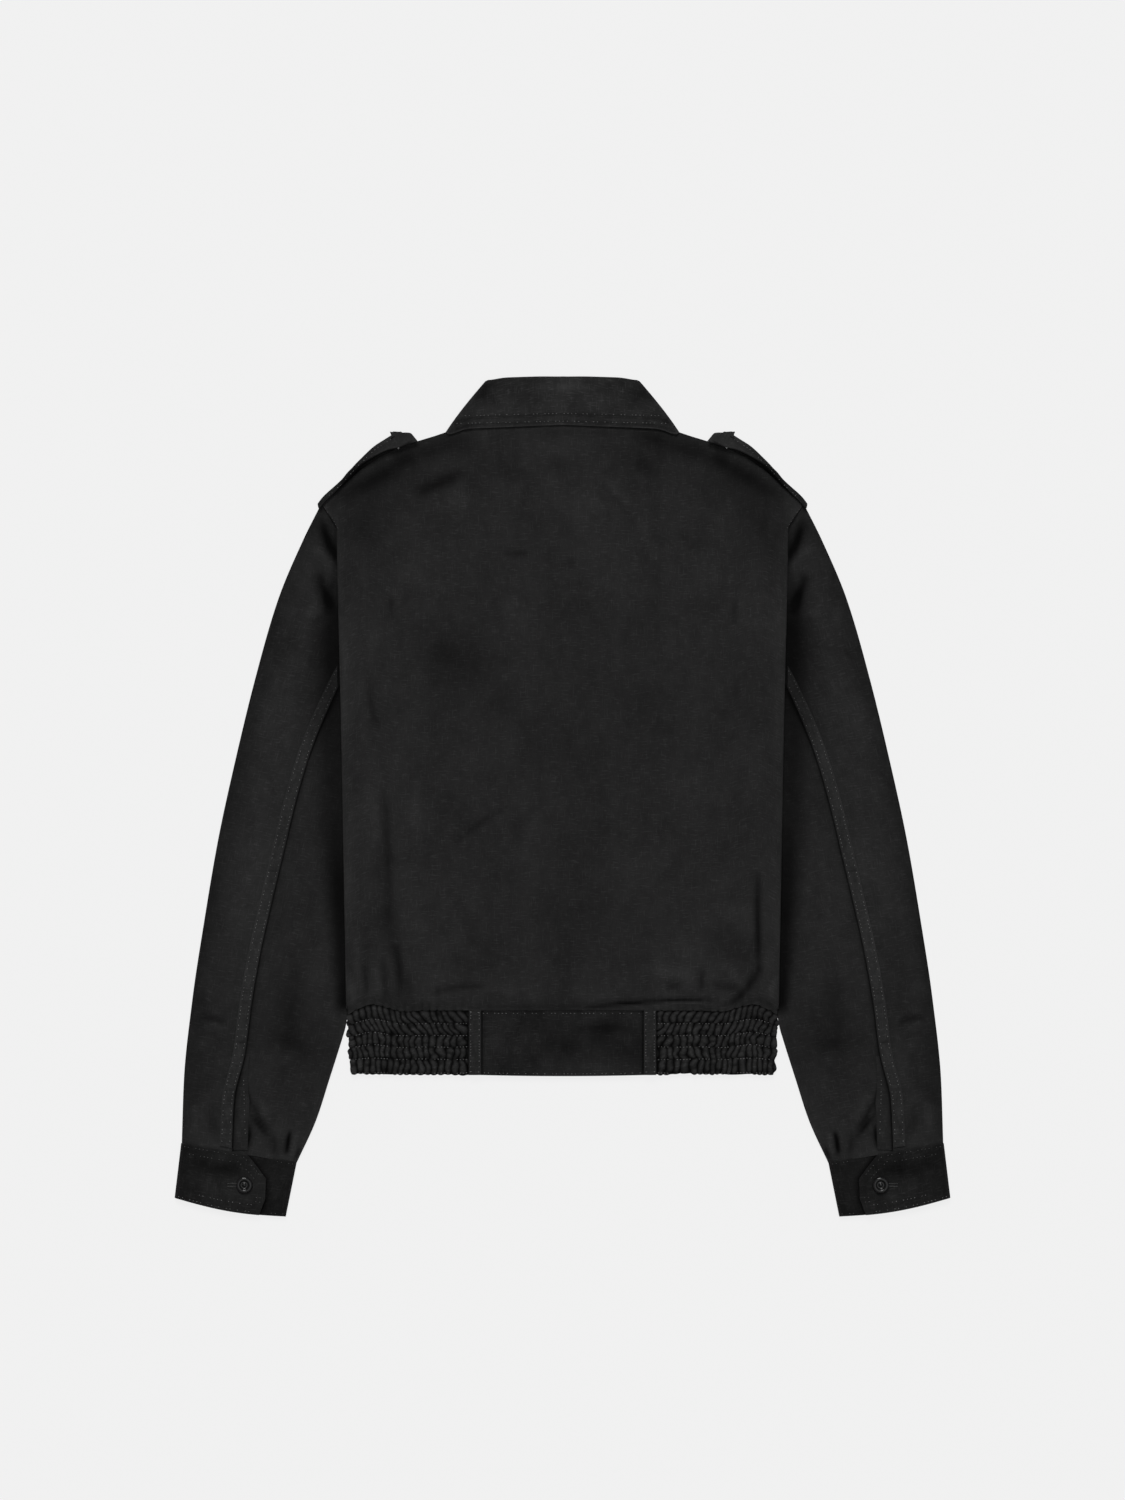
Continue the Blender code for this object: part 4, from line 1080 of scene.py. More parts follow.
@dataclass
class Front:
    """A plain front that lies beneath: its neckline, its overlap, and its lift over the collar."""

    side: Side
    overlap: float = 18.0
    neck: Pair = (107.0, 350.0)
    neck_drop: float = 50.0
    still: float = 60.0
    raised: float = 1.9
    over_collar: Pair = (9.0, 34.0)
    over_strap: Pair = (-40.0, -27.0)
    layer: float = 1.6
    layer_end: Pair = (5.0, 30.0)
    still_edges: Triple = (30.0, 0.05, 0.2)
    point_edge: Points = ((109.7, 352.0), (45.0, 277.0))
    point_front: Points = ((45.0, 277.0), (6.0, 327.0))
    strap: tuple[float, float, float, float] = (135.0, 337.3, 0.531, 0.847)
    rows: int = 96
    relief: Relief = Relief(
        creases=folds(
            (60, 220, 150, 160, 14, 1.2, 6), (40, 60, 120, 10, 11, 1, -5),
            (150, -20, 140, -150, 9, 1.3, 4), (90, -90, 80, -190, 8, 1.1, -3),
            (50, -120, 44, -195, 6, 0.9),
        ),
        sizes=((70.0, 0.5), (26.0, 0.25)), seed=300)

    def top_edge(self) -> Array:
        """Draw the top edge, from the overlap round the neckline to the arm.

        Returns:
            Its plan points.
        """
        centre = np.linspace(-self.overlap, self.overlap, 13)
        first = math.acos(self.overlap / self.neck[0])
        neck = self.neck[0] * np.cos(np.linspace(first, 0.0, 22)[1:])
        out = np.concatenate((centre, neck))
        up = self.neck[1] - self.neck_drop * np.sqrt(1.0 - (out / self.neck[0]) ** 2)
        shoulder = np.linspace(self.neck[0], DRAFT.shoulder[0], 30)[1:]
        return np.column_stack((np.concatenate((out, shoulder)),
                                np.concatenate((up, DRAFT.top(shoulder)))))

    def lift(self, out: Array, up: Array) -> Array:
        """Raise the front over the collar's point and the shoulder strap.

        Args:
            out: Distances from the centre line.
            up: Distances along Y.

        Returns:
            How far it is raised at each place.
        """
        past = []
        for start, end in (self.point_edge, self.point_front):
            run = (np.array(end) - start) / np.linalg.norm(np.array(end) - start)
            past.append(-(abs(out) - start[0]) * run[1] + (up - start[1]) * run[0])
        over_collar = 1.0 - ease(*self.over_collar, np.maximum(*past))
        across, rise, along, square = self.strap
        over_strap = ease(*self.over_strap, (abs(out) - across) * along + (up - rise) * square)
        return self.raised * np.maximum(over_collar, over_strap)

    def panel(self) -> Panel:
        """Shape the front; the right one lies on the left one at the centre.

        Returns:
            The panel on this front's side.
        """
        edge = self.top_edge()
        share = row_shares(self.rows)
        up = mix(DRAFT.hem, edge[:, 1], share)
        side = DRAFT.arm_inner(up) - DRAFT.seam_gap / 2.0
        beyond = (edge[:, 0] - self.still) / (DRAFT.shoulder[0] - self.still)
        out = np.where(edge[:, 0] > self.still, mix(self.still, side, beyond), edge[:, 0])
        level = DRAFT.floor_level + self.lift(out, up)
        if self.side is Side.RIGHT:
            near, far = self.layer_end
            level = level + self.layer * (1.0 - ease(self.overlap + near, self.overlap + far, out))
        beside, below, above = self.still_edges
        free = ease(34.0, self.still, out) * ease(0.0, beside, side - out)
        free = free * ease(0.0, below, share) * ease(0.0, above, 1.0 - share)
        level = level + free * np.maximum(self.relief(out, up), 0.0)
        return Panel(grid_of(out, up, level), (), (0,), 1.6,
                     self.relief.dye(out, up)).mirrored(self.side)

    def build(self, workroom: Workroom) -> Piece:
        """Make the front."""
        rests = "front_left" if self.side is Side.RIGHT else "collar_fall"
        return workroom.make(self.panel(), f"front_panel_{self.side.word}", DRAFT.cloth, "body",
                             f"front_{self.side.word}", Held.LAID, rests)


# Sleeves


@dataclass
class Sleeve:
    """A two-piece sleeve with a felled seam, a vent and the folds that the photo's arm shows."""

    side: Side
    rows: int = 220
    columns: int = 62
    loft: float = 4.6
    foot: float = -330.0
    head: float = 277.2
    slant: float = 17.5
    slant_top: float = -236.0
    under_top: float = 172.0
    fell_width: float = 11.0
    fell_foot: Pair = (-333.0, -331.0)
    fell_top: Pair = (104.0, 124.0)
    fell_rows: int = 420
    placket: Pair = (-335.0, -246.0)
    placket_width: Pair = (14.0, 4.0)
    placket_rows: int = 44
    joins: tuple[float, ...] = (-71.7, -234.0)
    vent_row: Points = ((302.2, -268.0), (300.8, -322.0))
    shaded_from: float = 54.0
    stitch_insets: Pair = (2.2, 9.8)
    stitch_tops: Pair = (104.0, 120.0)
    trim_wall: float = 0.9
    trim_inset: float = 0.6
    seam_shadow_reach: float = 1.7
    lowest: float = 1.95
    lips: tuple[Triple, ...] = (
        (1.25, 1.25, 0.0), (0.9, 0.9, 0.15), (0.6, 0.75, 0.5), (0.3, 0.75, 1.05))
    creases: tuple[Crease, ...] = folds(
        (229, 262, 215, 224, 4.8, -1.7, 1), (231.5, 212, 219.5, 178, 4.6, -1.7, 1),
        (232, 236, 216, 214, 4, 1), (244, 170, 226, 176, 5, 1),
        (300, -276, 291, -298, 2, -1.6, 1, 0.4), (292.5, -292, 276, -318, 2.4, -2.2, 2.4, 0.5),
        (296.5, -306, 300.5, -338, 3, -1.5, -2), (287, -284, 276, -308, 4, 1.1, 2),
        (258.5, -318, 262, -343, 2.4, -2.2, 1), (252, -318, 256, -345, 1.8, 1.2, 0.6),
        (274, -320, 271, -345, 3, -1.2, 1), (344.5, -209.5, 317, -215.5, 3.2, -1.6, -1.5, 0.4),
        (342, -218, 322, -221, 4, 0.9), (347, -288, 349, -322, 4, 0.9),
        (334, -292, 333, -324, 5, -0.9), (330, -262, 352, -296, 7, -0.8, 2),
        (246, -150, 262, -250, 10, -0.8, 4), (318, -120, 335, -200, 11, -0.7, -4),
        (298, 40, 276, 96, 9, 0.7, 3), (246, 150, 270, 120, 9, -0.7, 3),
    )
    # Patches of painted shade and light: painted shadows in creases by the body and the vent, and a
    # paler lit band down the arm.
    fades: tuple[Crease, ...] = folds(
        (228, 266, 213, 216, 7, -0.56, 1), (231, 216, 219, 172, 6.5, -0.36, 1),
        (296, -300, 277.8, -323.5, 2.4, -0.85, 1), (300.9, -262, 295.4, -305, 2, -0.55, 0.6),
        (297.5, -309.8, 299.7, -335, 2.2, -0.60, -1), (258, -316.3, 261.3, -339, 2.2, -0.75, 0.6),
        (248.2, -331.7, 254.8, -346, 2, -0.70), (270, -306, 262, -334, 5, 0.14),
        (252, 182, 268, 24, 15, 0.2), (266, 70, 290, -88, 16, 0.22),
        (282, -40, 320, -152, 17, 0.2), (346, -176, 326, -187, 8, 0.2),
        (288, -229, 232, -241, 7.5, -0.22, -2), (330, -249, 317, -250, 6, 0.16),
        (264, -160, 240, -262, 22, -0.16), (336, -60, 352, -200, 9, -0.14),
        (262, -262, 243, -268, 8, 0.1), (285, -322, 262, -338, 8, -0.2),
        (352, -236, 356, -300, 10, -0.12), (330, -300, 322, -330, 8, -0.14),
    )
    shaded_reach: Edge = Edge((
        (-201, 13), (-127, 20), (-79, 25), (-32, 29), (54, 33), (92, 33), (130, 30), (168, 27),
        (196, 15), (225, 6), (262, 4)))
    shaded_depth: Edge = Edge((
        (-201, 0.84), (-79, 0.78), (-32, 0.66), (16, 0.58), (54, 0.64), (92, 0.72), (130, 0.86),
        (168, 0.82), (196, 0.50), (225, 0.36), (262, 0.2)))

    @property
    def relief(self) -> Relief:
        """Return this sleeve's folds and its patches of painted shade and light; its uneven swells
        are its own.
        """
        seed = 40 if self.side is Side.RIGHT else 70
        return Relief(self.creases, ((80.0, 1.0), (30.0, 0.5), (12.0, 0.16)), self.fades, seed)

    def dye(self, out: Array, up: Array) -> Array:
        """Paint shade on the cloth: a painted shadow beside the body and painted shade at the outer
        fold, paler between.

        Args:
            out: Distances from the centre line.
            up: Distances along Y.

        Returns:
            How much paler (above 0) or darker it is than its finish.
        """
        beside = abs(out) - DRAFT.body_side(up)
        reach = self.shaded_reach(up)
        # A painted contact shadow on the sleeve beside the body's edge.
        shaded = -self.shaded_depth(up) * (1.0 - ease(0.22 * reach, 1.1 * reach, beside))
        shaded = shaded * ease(-212.0, -196.0, up) * (1.0 - ease(256.0, 272.0, up))
        # Painted shade where the sleeve rounds away at its outer fold.
        rim = -0.26 * (1.0 - ease(0.0, 22.0, DRAFT.sleeve_outer(up) - abs(out)))
        return shaded + rim + self.relief.dye(out, up)

    def level(self, out: Array, up: Array) -> Array:
        """Swell and fold the upper layer.

        Args:
            out: Distances from the centre line.
            up: Distances along Y.

        Returns:
            Its middle level.
        """
        outer = DRAFT.sleeve_outer(up)
        inner = np.maximum(DRAFT.body_side(up) + 8.0, DRAFT.arm_inner(up))
        width = np.maximum(outer - inner, 1.0)
        share = (outer - out) / width
        swell = ease(0.0, 0.36, share) * ease(0.0, 0.42, 1.0 - share)
        foot = mix(0.35, 1.0, ease(-330.0, -262.0, up))
        near = ease(-3.0, 5.0, out - np.maximum(DRAFT.body_side(up), DRAFT.arm_inner(up)))
        free = ease(0.0, 0.14, share) * near * ease(6.0, 30.0, width)
        free = free * mix(0.5, 1.0, ease(-346.0, -318.0, up))
        level = (DRAFT.sleeve_level + self.loft * swell * foot * ease(10.0, 60.0, width)
                 + free * self.relief(out, up))
        return np.maximum(level, self.lowest)

    def stations(self) -> tuple[Array, Array]:
        """Return the outer and inner heights of each row, from the cuff to the shoulder."""
        outer_up = row_shares(self.rows, self.foot, self.head)
        return outer_up, outer_up - self.slant * (1.0 - ease(self.foot, self.slant_top, outer_up))

    def rise(self, outer_up: Array, inner_up: Array, out: Array) -> Array:
        """Return how far up each row stands where it lies so far out."""
        outer, inner = DRAFT.sleeve_outer(outer_up), DRAFT.arm_inner(inner_up)
        return mix(inner_up, outer_up, (out - inner) / (outer - inner))

    def seam(self, outer_up: Array, inner_up: Array) -> Array:
        """Find the felled seam, or the inner edge above it.

        Args:
            outer_up: Each row's height at the outer fold.
            inner_up: Each row's height at the arm's inner edge.

        Returns:
            Where each row crosses it.
        """
        outer, inner = DRAFT.sleeve_outer(outer_up), DRAFT.arm_inner(inner_up)
        share = (DRAFT.sleeve_seam(inner_up) - inner) / (outer - inner)
        crossing = DRAFT.sleeve_seam(mix(inner_up, outer_up, share))
        return np.where(inner_up > self.under_top, inner - self.shoulder_tuck(inner_up), crossing)

    def shoulder_tuck(self, up: Array) -> Array:
        """Return how far the sleeve's head reaches under the back's unfolded edge."""
        return 3.0 * ease(240.0, 258.0, up)

    def top_panel(self) -> Panel:
        """Shape the outer part: over its top, round the fold and all along beneath.

        Returns:
            The panel on the +X side.
        """
        outer_up, inner_up = self.stations()
        radius = (DRAFT.sleeve_level - DRAFT.floor_level) / 2.0
        centre = DRAFT.sleeve_outer(outer_up) - radius - DRAFT.cloth / 2.0
        seam = self.seam(outer_up, inner_up) + DRAFT.seam_gap / 2.0
        out = mix(seam, centre, shares(self.columns))
        up = self.rise(outer_up, inner_up, out)
        upper = grid_of(out, up, self.level(out, up))
        angle = shares(9, 0.0, math.pi)[:, 1:-1]
        middle = (DRAFT.sleeve_level + DRAFT.floor_level) / 2.0
        fold = grid_of(centre + radius * np.sin(angle), outer_up, middle + radius * np.cos(angle))
        inner = np.minimum(DRAFT.arm_inner(inner_up) + DRAFT.seam_gap / 2.0, centre - 1.0)
        out = mix(centre, inner, shares(12))
        under = grid_of(out, self.rise(outer_up, inner_up, out), DRAFT.floor_level)
        grid = np.concatenate((upper, fold, under), axis=1)
        return Panel(grid, (), (), 2.0, self.dye(grid[..., 0], grid[..., 1]))

    def under_panel(self) -> Panel:
        """Shape the inner part, turned down at the arm's inner edge below the armpit.

        Returns:
            The panel on the +X side.
        """
        outer_up, inner_up = self.stations()
        keep = inner_up[:, 0] <= self.under_top
        outer_up, inner_up = outer_up[keep], inner_up[keep]
        seam = self.seam(outer_up, inner_up) - DRAFT.seam_gap / 2.0
        inner = DRAFT.arm_inner(inner_up)
        out = mix(seam, inner + self.lips[0][0], shares(self.columns - 2, 0.0, 0.985))
        up = self.rise(outer_up, inner_up, out)
        below = DRAFT.below_armpit(inner_up)
        lips = [grid_of(inner + mix(flat, turned, below), inner_up,
                        DRAFT.sleeve_level - drop * below) for flat, turned, drop in self.lips]
        grid = np.concatenate([grid_of(out, up, self.level(out, up)), *lips], axis=1)[:, ::-1]
        out, up = grid[..., 0], grid[..., 1]
        # A painted shadow on the inner part beside the felled seam.
        painted_seam_shadow = -0.9 * np.exp(-(DRAFT.sleeve_seam(up) - out) / self.seam_shadow_reach)
        return Panel(grid, (), (2,), 1.4, self.dye(out, up) + painted_seam_shadow)

    def on_top(self, out: Array, up: Array) -> Array:
        """Return points of a trim that lies on the upper layer."""
        lift = DRAFT.cloth / 2.0 + DRAFT.seam_gap + self.trim_wall / 2.0
        return grid_of(out, up, self.level(out, up) + lift)

    def fell_panel(self) -> Panel:
        """Shape the felled seam's strip, puckered between its stitches.

        Returns:
            The panel on the +X side.
        """
        part = shares(12)
        up = mix(mix(*self.fell_foot, part), mix(*self.fell_top, part),
                 row_shares(self.fell_rows))
        grid = self.on_top(DRAFT.sleeve_seam(up) + self.trim_inset + self.fell_width * part, up)
        joins = sum(np.exp(-((up - 1.5 * part - join) / 1.1) ** 2) for join in self.joins)
        ribs = swells(up, 30.0 * part, 8.0, 5) + 1.1 * swells(up, 9.0 * part, 3.6, 6)
        ribs = ribs - 2.4 * joins
        bulge = np.sin(math.pi * part) ** 0.7
        grid[..., 2] += 0.30 * bulge + 0.30 * ribs * bulge
        # The sleeve's painted shade, lifted paler, with painted light on the strip's raised ribs.
        dye = self.dye(grid[..., 0], up) * 0.8 + 0.22 + 0.14 * ribs * bulge
        return Panel(grid, (), (-1,), 1.0, dye)

    def placket_panel(self) -> Panel:
        """Shape the placket below the felled seam's split.

        Returns:
            The panel on the +X side.
        """
        share = row_shares(self.placket_rows)
        up = mix(*self.placket, share)
        width = mix(*self.placket_width, ease(0.45, 1.0, share))
        part = shares(10, 1.0, 0.0)
        grid = self.on_top(DRAFT.sleeve_seam(up) - self.trim_inset - width * part, up)
        uneven = swells(up, 30.0 * part, 14.0, 8)
        grid[..., 2] += 0.35 * np.sin(math.pi * part) * uneven
        # Painted light on the placket's raised bumps and a painted shadow along its edge by the
        # seam.
        edge = np.exp(-(DRAFT.sleeve_seam(up) - self.trim_inset - grid[..., 0]) / self.seam_shadow_reach)
        return Panel(grid, (), (), 1.5, 0.04 + 0.12 * uneven - 0.9 * edge)

    def seam_line(self, offset: float, low: float, high: float) -> StitchRow:
        """Return a stitch row beside the felled seam."""
        up = np.linspace(high, low, 60)
        return StitchRow.on(self.side, zip(DRAFT.sleeve_seam(up) + offset, up))

    def build(self, workroom: Workroom) -> list[Piece]:
        """Make the sleeve, its trims and its stitches.

        Args:
            workroom: The finishes, and the way into the model.

        Returns:
            The outer and the inner part, the felled seam and the placket.
        """
        word = self.side.word
        panels = [panel.mirrored(self.side) for panel in (
            self.top_panel(), self.under_panel(), self.fell_panel(), self.placket_panel())]
        kinds = (("sleeve_outer_part", DRAFT.cloth, "sleeve", "top_sleeve"),
                 ("sleeve_inner_part", DRAFT.cloth, "sleeve", "under_sleeve"),
                 ("felled_seam", self.trim_wall, "trim", "sleeve_seam"),
                 ("placket", self.trim_wall, "trim", "vent_placket"))
        pieces = [workroom.sew_in(panel, f"{name}_{word}", wall, finish, f"{node}_{word}")
                  for panel, (name, wall, finish, node) in zip(panels, kinds)]
        for index, other in enumerate(("under_sleeve", "top_sleeve")):
            workroom.declare(pieces[index], panels[index])
        rows = [self.seam_line(inset, foot, self.shaded_from)
                for inset, foot in zip(self.stitch_insets, self.fell_foot)]
        rows.append(StitchRow.on(self.side, self.vent_row))
        Needle(workroom).sew(f"sleeve_stitches_{word}", rows, pieces)
        # Stitches above this use the darker thread, a shaded copy that matches the painted shadow
        # beside the body.
        rows = [self.seam_line(inset, self.shaded_from, top)
                for inset, top in zip(self.stitch_insets, self.stitch_tops)]
        Needle(workroom).sew(f"upper_sleeve_stitches_{word}", rows, pieces, deep=True)
        return pieces


# Cuffs


@dataclass
class Cuff:
    """A shirt cuff folded flat, its chamfered tab on top, with its stitches and buttonhole."""

    side: Side
    wall: float = 1.8
    floor_level: float = 0.9
    under_level: float = 3.3
    tab_level: float = 5.5
    under_end: float = 46.0
    bulge: float = 4.0
    outer: Points = ((361.9, -328.9), (368.1, -380.5))
    inner: Points = ((252.2, -346.6), (262.7, -398.5))
    tab: Points = ((0.0, 63.5), (0.18, 74.0), (0.37, 84.0), (0.72, 85.5),
                                            (1.0, 81.5))
    slit: Pair = (310.0, -368.2)
    slit_half: float = 7.5
    slit_edge: float = 0.25
    slit_reach: float = 1.15
    slit_steps: int = 22
    # Patches of painted shade and light round the buttonhole and across the cuff.
    fades: tuple[Crease, ...] = folds(
        (354, -350, 294, -355, 8, -0.42), (338, -362, 322, -376, 7, 0.30),
        (334, -375, 306, -381, 6, 0.34), (352, -338, 300, -344, 4, 0.16),
        (276, -356, 270, -392, 6, 0.14),
    )

    def width(self, down: Array) -> Array:
        """Return the cuff's flat width a share down its height."""
        return np.linalg.norm(self._end(self.inner, down) - self._end(self.outer, down), axis=-1)

    @staticmethod
    def _end(edge: Points, down: Array) -> Array:
        """Return plan points on a side edge, a share down the height."""
        return mix(np.array(edge[0]), np.array(edge[1]), down[..., None])

    def plan(self, along: Array, down: Array) -> Array:
        """Find places on the flat cuff.

        Args:
            along: Distances in from the outer edge.
            down: Shares down its height.

        Returns:
            Their plan points.
        """
        along, down = np.broadcast_arrays(along, down)
        outer, inner = self._end(self.outer, down), self._end(self.inner, down)
        width = self.width(down)
        place = outer + (inner - outer) * (along / width)[..., None]
        sag = self.bulge * down * np.sin(math.pi * np.clip(along / width, 0.0, 1.0))
        return np.stack((place[..., 0], place[..., 1] - sag), axis=-1)

    def tab_end(self, down: Array) -> Array:
        """Return how far in the tab reaches, a share down the height."""
        return np.interp(down, *np.array(self.tab).T)

    def relief(self, x: Array, y: Array) -> Array:
        """Shape the cuff's own uneven swells and creases.

        Args:
            x: Distances along X.
            y: Distances along Y.

        Returns:
            Their height in millimetres.
        """
        seed = 90 if self.side is Side.RIGHT else 95
        creases = folds(
            (326, -347, 306, -358, 6, -0.8, 2), (345, -350, 352, -376, 7, 0.5, 2),
        )
        return Relief(creases, ((40.0, 0.5), (16.0, 0.22), (7.0, 0.07)), (), seed)(x, y)

    def panel(self) -> Panel:
        """Shape the cuff: tab on top, round the outer edge, beneath, and under the tab.

        Returns:
            The panel on the +X side.
        """
        down = row_shares(46, 1.0, 0.0)
        radius = (self.tab_level - self.floor_level) / 2.0
        small = (self.under_level - self.floor_level) / 2.0
        start = radius + self.wall / 2.0
        end = self.width(down) - small - self.wall / 2.0
        angle = shares(10, 0.0, math.pi)[:, 1:-1]
        part = shares(64)
        parts = [
            (mix(self.tab_end(down), start, part), np.full_like(part, self.tab_level)),
            (start - radius * np.sin(angle), self.floor_level + radius * (1.0 + np.cos(angle))),
            (mix(start, end, part[:, ::3]), np.full_like(part[:, ::3], self.floor_level)),
            (end + small * np.sin(angle), self.floor_level + small * (1.0 - np.cos(angle))),
            (mix(end, self.under_end, part[:, ::2]), np.full_like(part[:, ::2], self.under_level)),
        ]
        places = []
        for along, level in parts:
            plan = self.plan(along, down)
            places.append(np.dstack((plan, np.broadcast_to(level, plan.shape[:2]))))
        tab, shown = places[0], places[-1]
        rim = ease(0.0, 0.12, down) * ease(0.0, 0.10, 1.0 - down)
        free = rim * ease(0.0, 0.12, part) * ease(0.0, 0.12, 1.0 - part)
        tab[..., 2] += free * self.relief(tab[..., 0], tab[..., 1])
        shown[..., 2] += 0.5 * rim * self.relief(shown[..., 0], shown[..., 1])
        grid = np.concatenate(places, axis=1)
        return Panel(grid, (0, -1), (), 1.2, self.dye(places))

    def dye(self, places: list[Array]) -> Array:
        """Paint shade on the cuff round the buttonhole, at the outer fold, and a painted shadow
        under the tab.

        Args:
            places: The points of each of its parts.

        Returns:
            The tone at each point of the whole.
        """
        shades = []
        for index, place in enumerate(places):
            x, y = place[..., 0], place[..., 1]
            # Patches, and painted shade and light on the cuff's swells.
            tone = sum(fade(x, y) for fade in self.fades) + 0.22 * self.relief(x, y)
            if index == len(places) - 1:
                past_tab = np.linalg.norm(place - places[0][:, :1], axis=2)
                # The layer under the tab is painted darker, with a painted shadow along the tab's
                # edge.
                tone = tone - 0.30 - 0.62 * np.exp(-(past_tab / 4.2) ** 2)
            shades.append(tone)
        # The tab is painted darker towards the outer fold, where it rounds away.
        shades[0] = shades[0] - 0.3 * ease(0.72, 1.0, shares(places[0].shape[1]))
        return np.concatenate(shades, axis=1)

    def line(self, along: Sequence[float], down: Sequence[float] | float) -> StitchRow:
        """Return a row of stitches through cuff places."""
        return StitchRow.on(self.side, self.plan(np.array(along), np.array(down)))

    def rows(self) -> list[StitchRow]:
        """Return the topstitching.

        Returns:
            Two rows at the top, one each at the top and the foot beyond the tab, two at the
            tab's foot, two on its slanted corner, and two short ones at its end.
        """
        sweep = np.linspace(3.0, 79.0, 30)
        beneath = np.linspace(92.0, 108.0, 10)
        foot = np.linspace(22.0, 80.0, 30)
        places = ((sweep[:22], 0.045), (sweep[2:20], 0.165), (beneath, 0.05), (beneath, 0.955),
                  (sweep, 0.955), (foot, 0.835), ((60.0, 71.5, 82.0), (0.05, 0.21, 0.39)),
                  ((55.0, 66.0, 76.5), (0.14, 0.28, 0.45)), ((76.0, 82.5), 0.70),
                  ((76.0, 82.0), 0.775))
        return [self.line(along, down) for along, down in places]

    def build(self, workroom: Workroom) -> Piece:
        """Make the cuff, its stitches and its buttonhole.

        Args:
            workroom: The finishes, and the way into the model.

        Returns:
            The finished piece.
        """
        word = self.side.word
        piece = workroom.make(self.panel().mirrored(self.side), f"shirt_cuff_{word}", self.wall,
                              "cuff", f"cuff_{word}", Held.FOLDED, f"top_sleeve_{word}")
        rows = self.rows()
        Needle(workroom).sew(f"cuff_foot_stitches_{word}", rows[4:6], [piece])
        Needle(workroom).sew(f"cuff_stitches_{word}", rows[:4] + rows[6:], [piece], deep=True)
        self.buttonhole(workroom, piece)
        return piece

    def buttonhole(self, workroom: Workroom, ground: Piece) -> None:
        """Sew the buttonhole's close stitches round its slit.

        Args:
            workroom: The finishes, and the way into the model.
            ground: The cuff.
        """
        centre = np.array((self.side.value * self.slit[0], self.slit[1]))
        rows = []
        for step in np.linspace(-self.slit_half, self.slit_half, self.slit_steps):
            for edge in (-1.0, 1.0):
                start = centre + (step, edge * self.slit_edge)
                end = centre + (step + 0.1, edge * (self.slit_edge + self.slit_reach))
                rows.append(StitchRow((tuple(start), tuple(end + (0.0, edge * 0.42))), 3.0,
                                      self.slit_reach, 0.5))
        Needle(workroom).sew(f"buttonhole_{self.side.word}", rows, [ground], deep=True)


@dataclass
class Button:
    """A polished cuff button: a raised, rounded rim round a hollow with a small domed pin."""

    side: Side
    centre: Pair = (301.6, -368.1)
    foot: float = 6.7
    sides: int = 72
    smooth: float = 60.0
    profile: Points = (
        (0.0, 2.0), (1.0, 1.85), (1.7, 1.35), (1.9, 1.0), (3.4, 0.95), (3.9, 1.5), (4.25, 2.5),
        (4.7, 3.0), (5.5, 3.2), (6.4, 3.1), (7.2, 2.7), (7.7, 2.0), (7.8, 1.2), (7.4, 0.5),
        (6.8, 0.0))

    def build(self, workroom: Workroom) -> Piece:
        """Make the button by spinning its profile about its axis.

        Args:
            workroom: The finishes, and the way into the model.

        Returns:
            The finished piece.
        """
        name = f"ring_button_{self.side.word}"
        bpy.ops.object.select_all(action="DESELECT")
        bpy.ops.mesh.primitive_circle_add(vertices=self.sides, radius=self.profile[-1][0] * MM,
                                          fill_type="NGON", location=(0.0, 0.0, 0.0))
        piece = bpy.context.object
        piece.name = name
        bpy.ops.object.mode_set(mode="EDIT")
        bpy.ops.mesh.select_all(action="SELECT")
        last = self.profile[-1]
        for ring in reversed(self.profile[1:-1]):
            bpy.ops.mesh.extrude_region_move(
                TRANSFORM_OT_translate={"value": (0.0, 0.0, (ring[1] - last[1]) * MM)})
            scale = ring[0] / last[0]
            bpy.ops.transform.resize(value=(scale, scale, 1.0))
            last = ring
        bpy.ops.mesh.extrude_region_move(
            TRANSFORM_OT_translate={"value": (0.0, 0.0, (self.profile[0][1] - last[1]) * MM)})
        bpy.ops.mesh.merge(type="CENTER")
        bpy.ops.mesh.select_all(action="SELECT")
        bpy.ops.mesh.normals_make_consistent(inside=False)
        bpy.ops.object.mode_set(mode="OBJECT")
        place = Vector((self.side.value * self.centre[0], self.centre[1], self.foot)) * MM
        piece.data.transform(Matrix.Translation(place))
        bpy.ops.object.shade_smooth_by_angle(angle=math.radians(self.smooth))
        piece.data.materials.append(workroom.button)
        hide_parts(f"cuff_button_{self.side.word}")
        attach(piece, BODY)
        return piece


# Collar


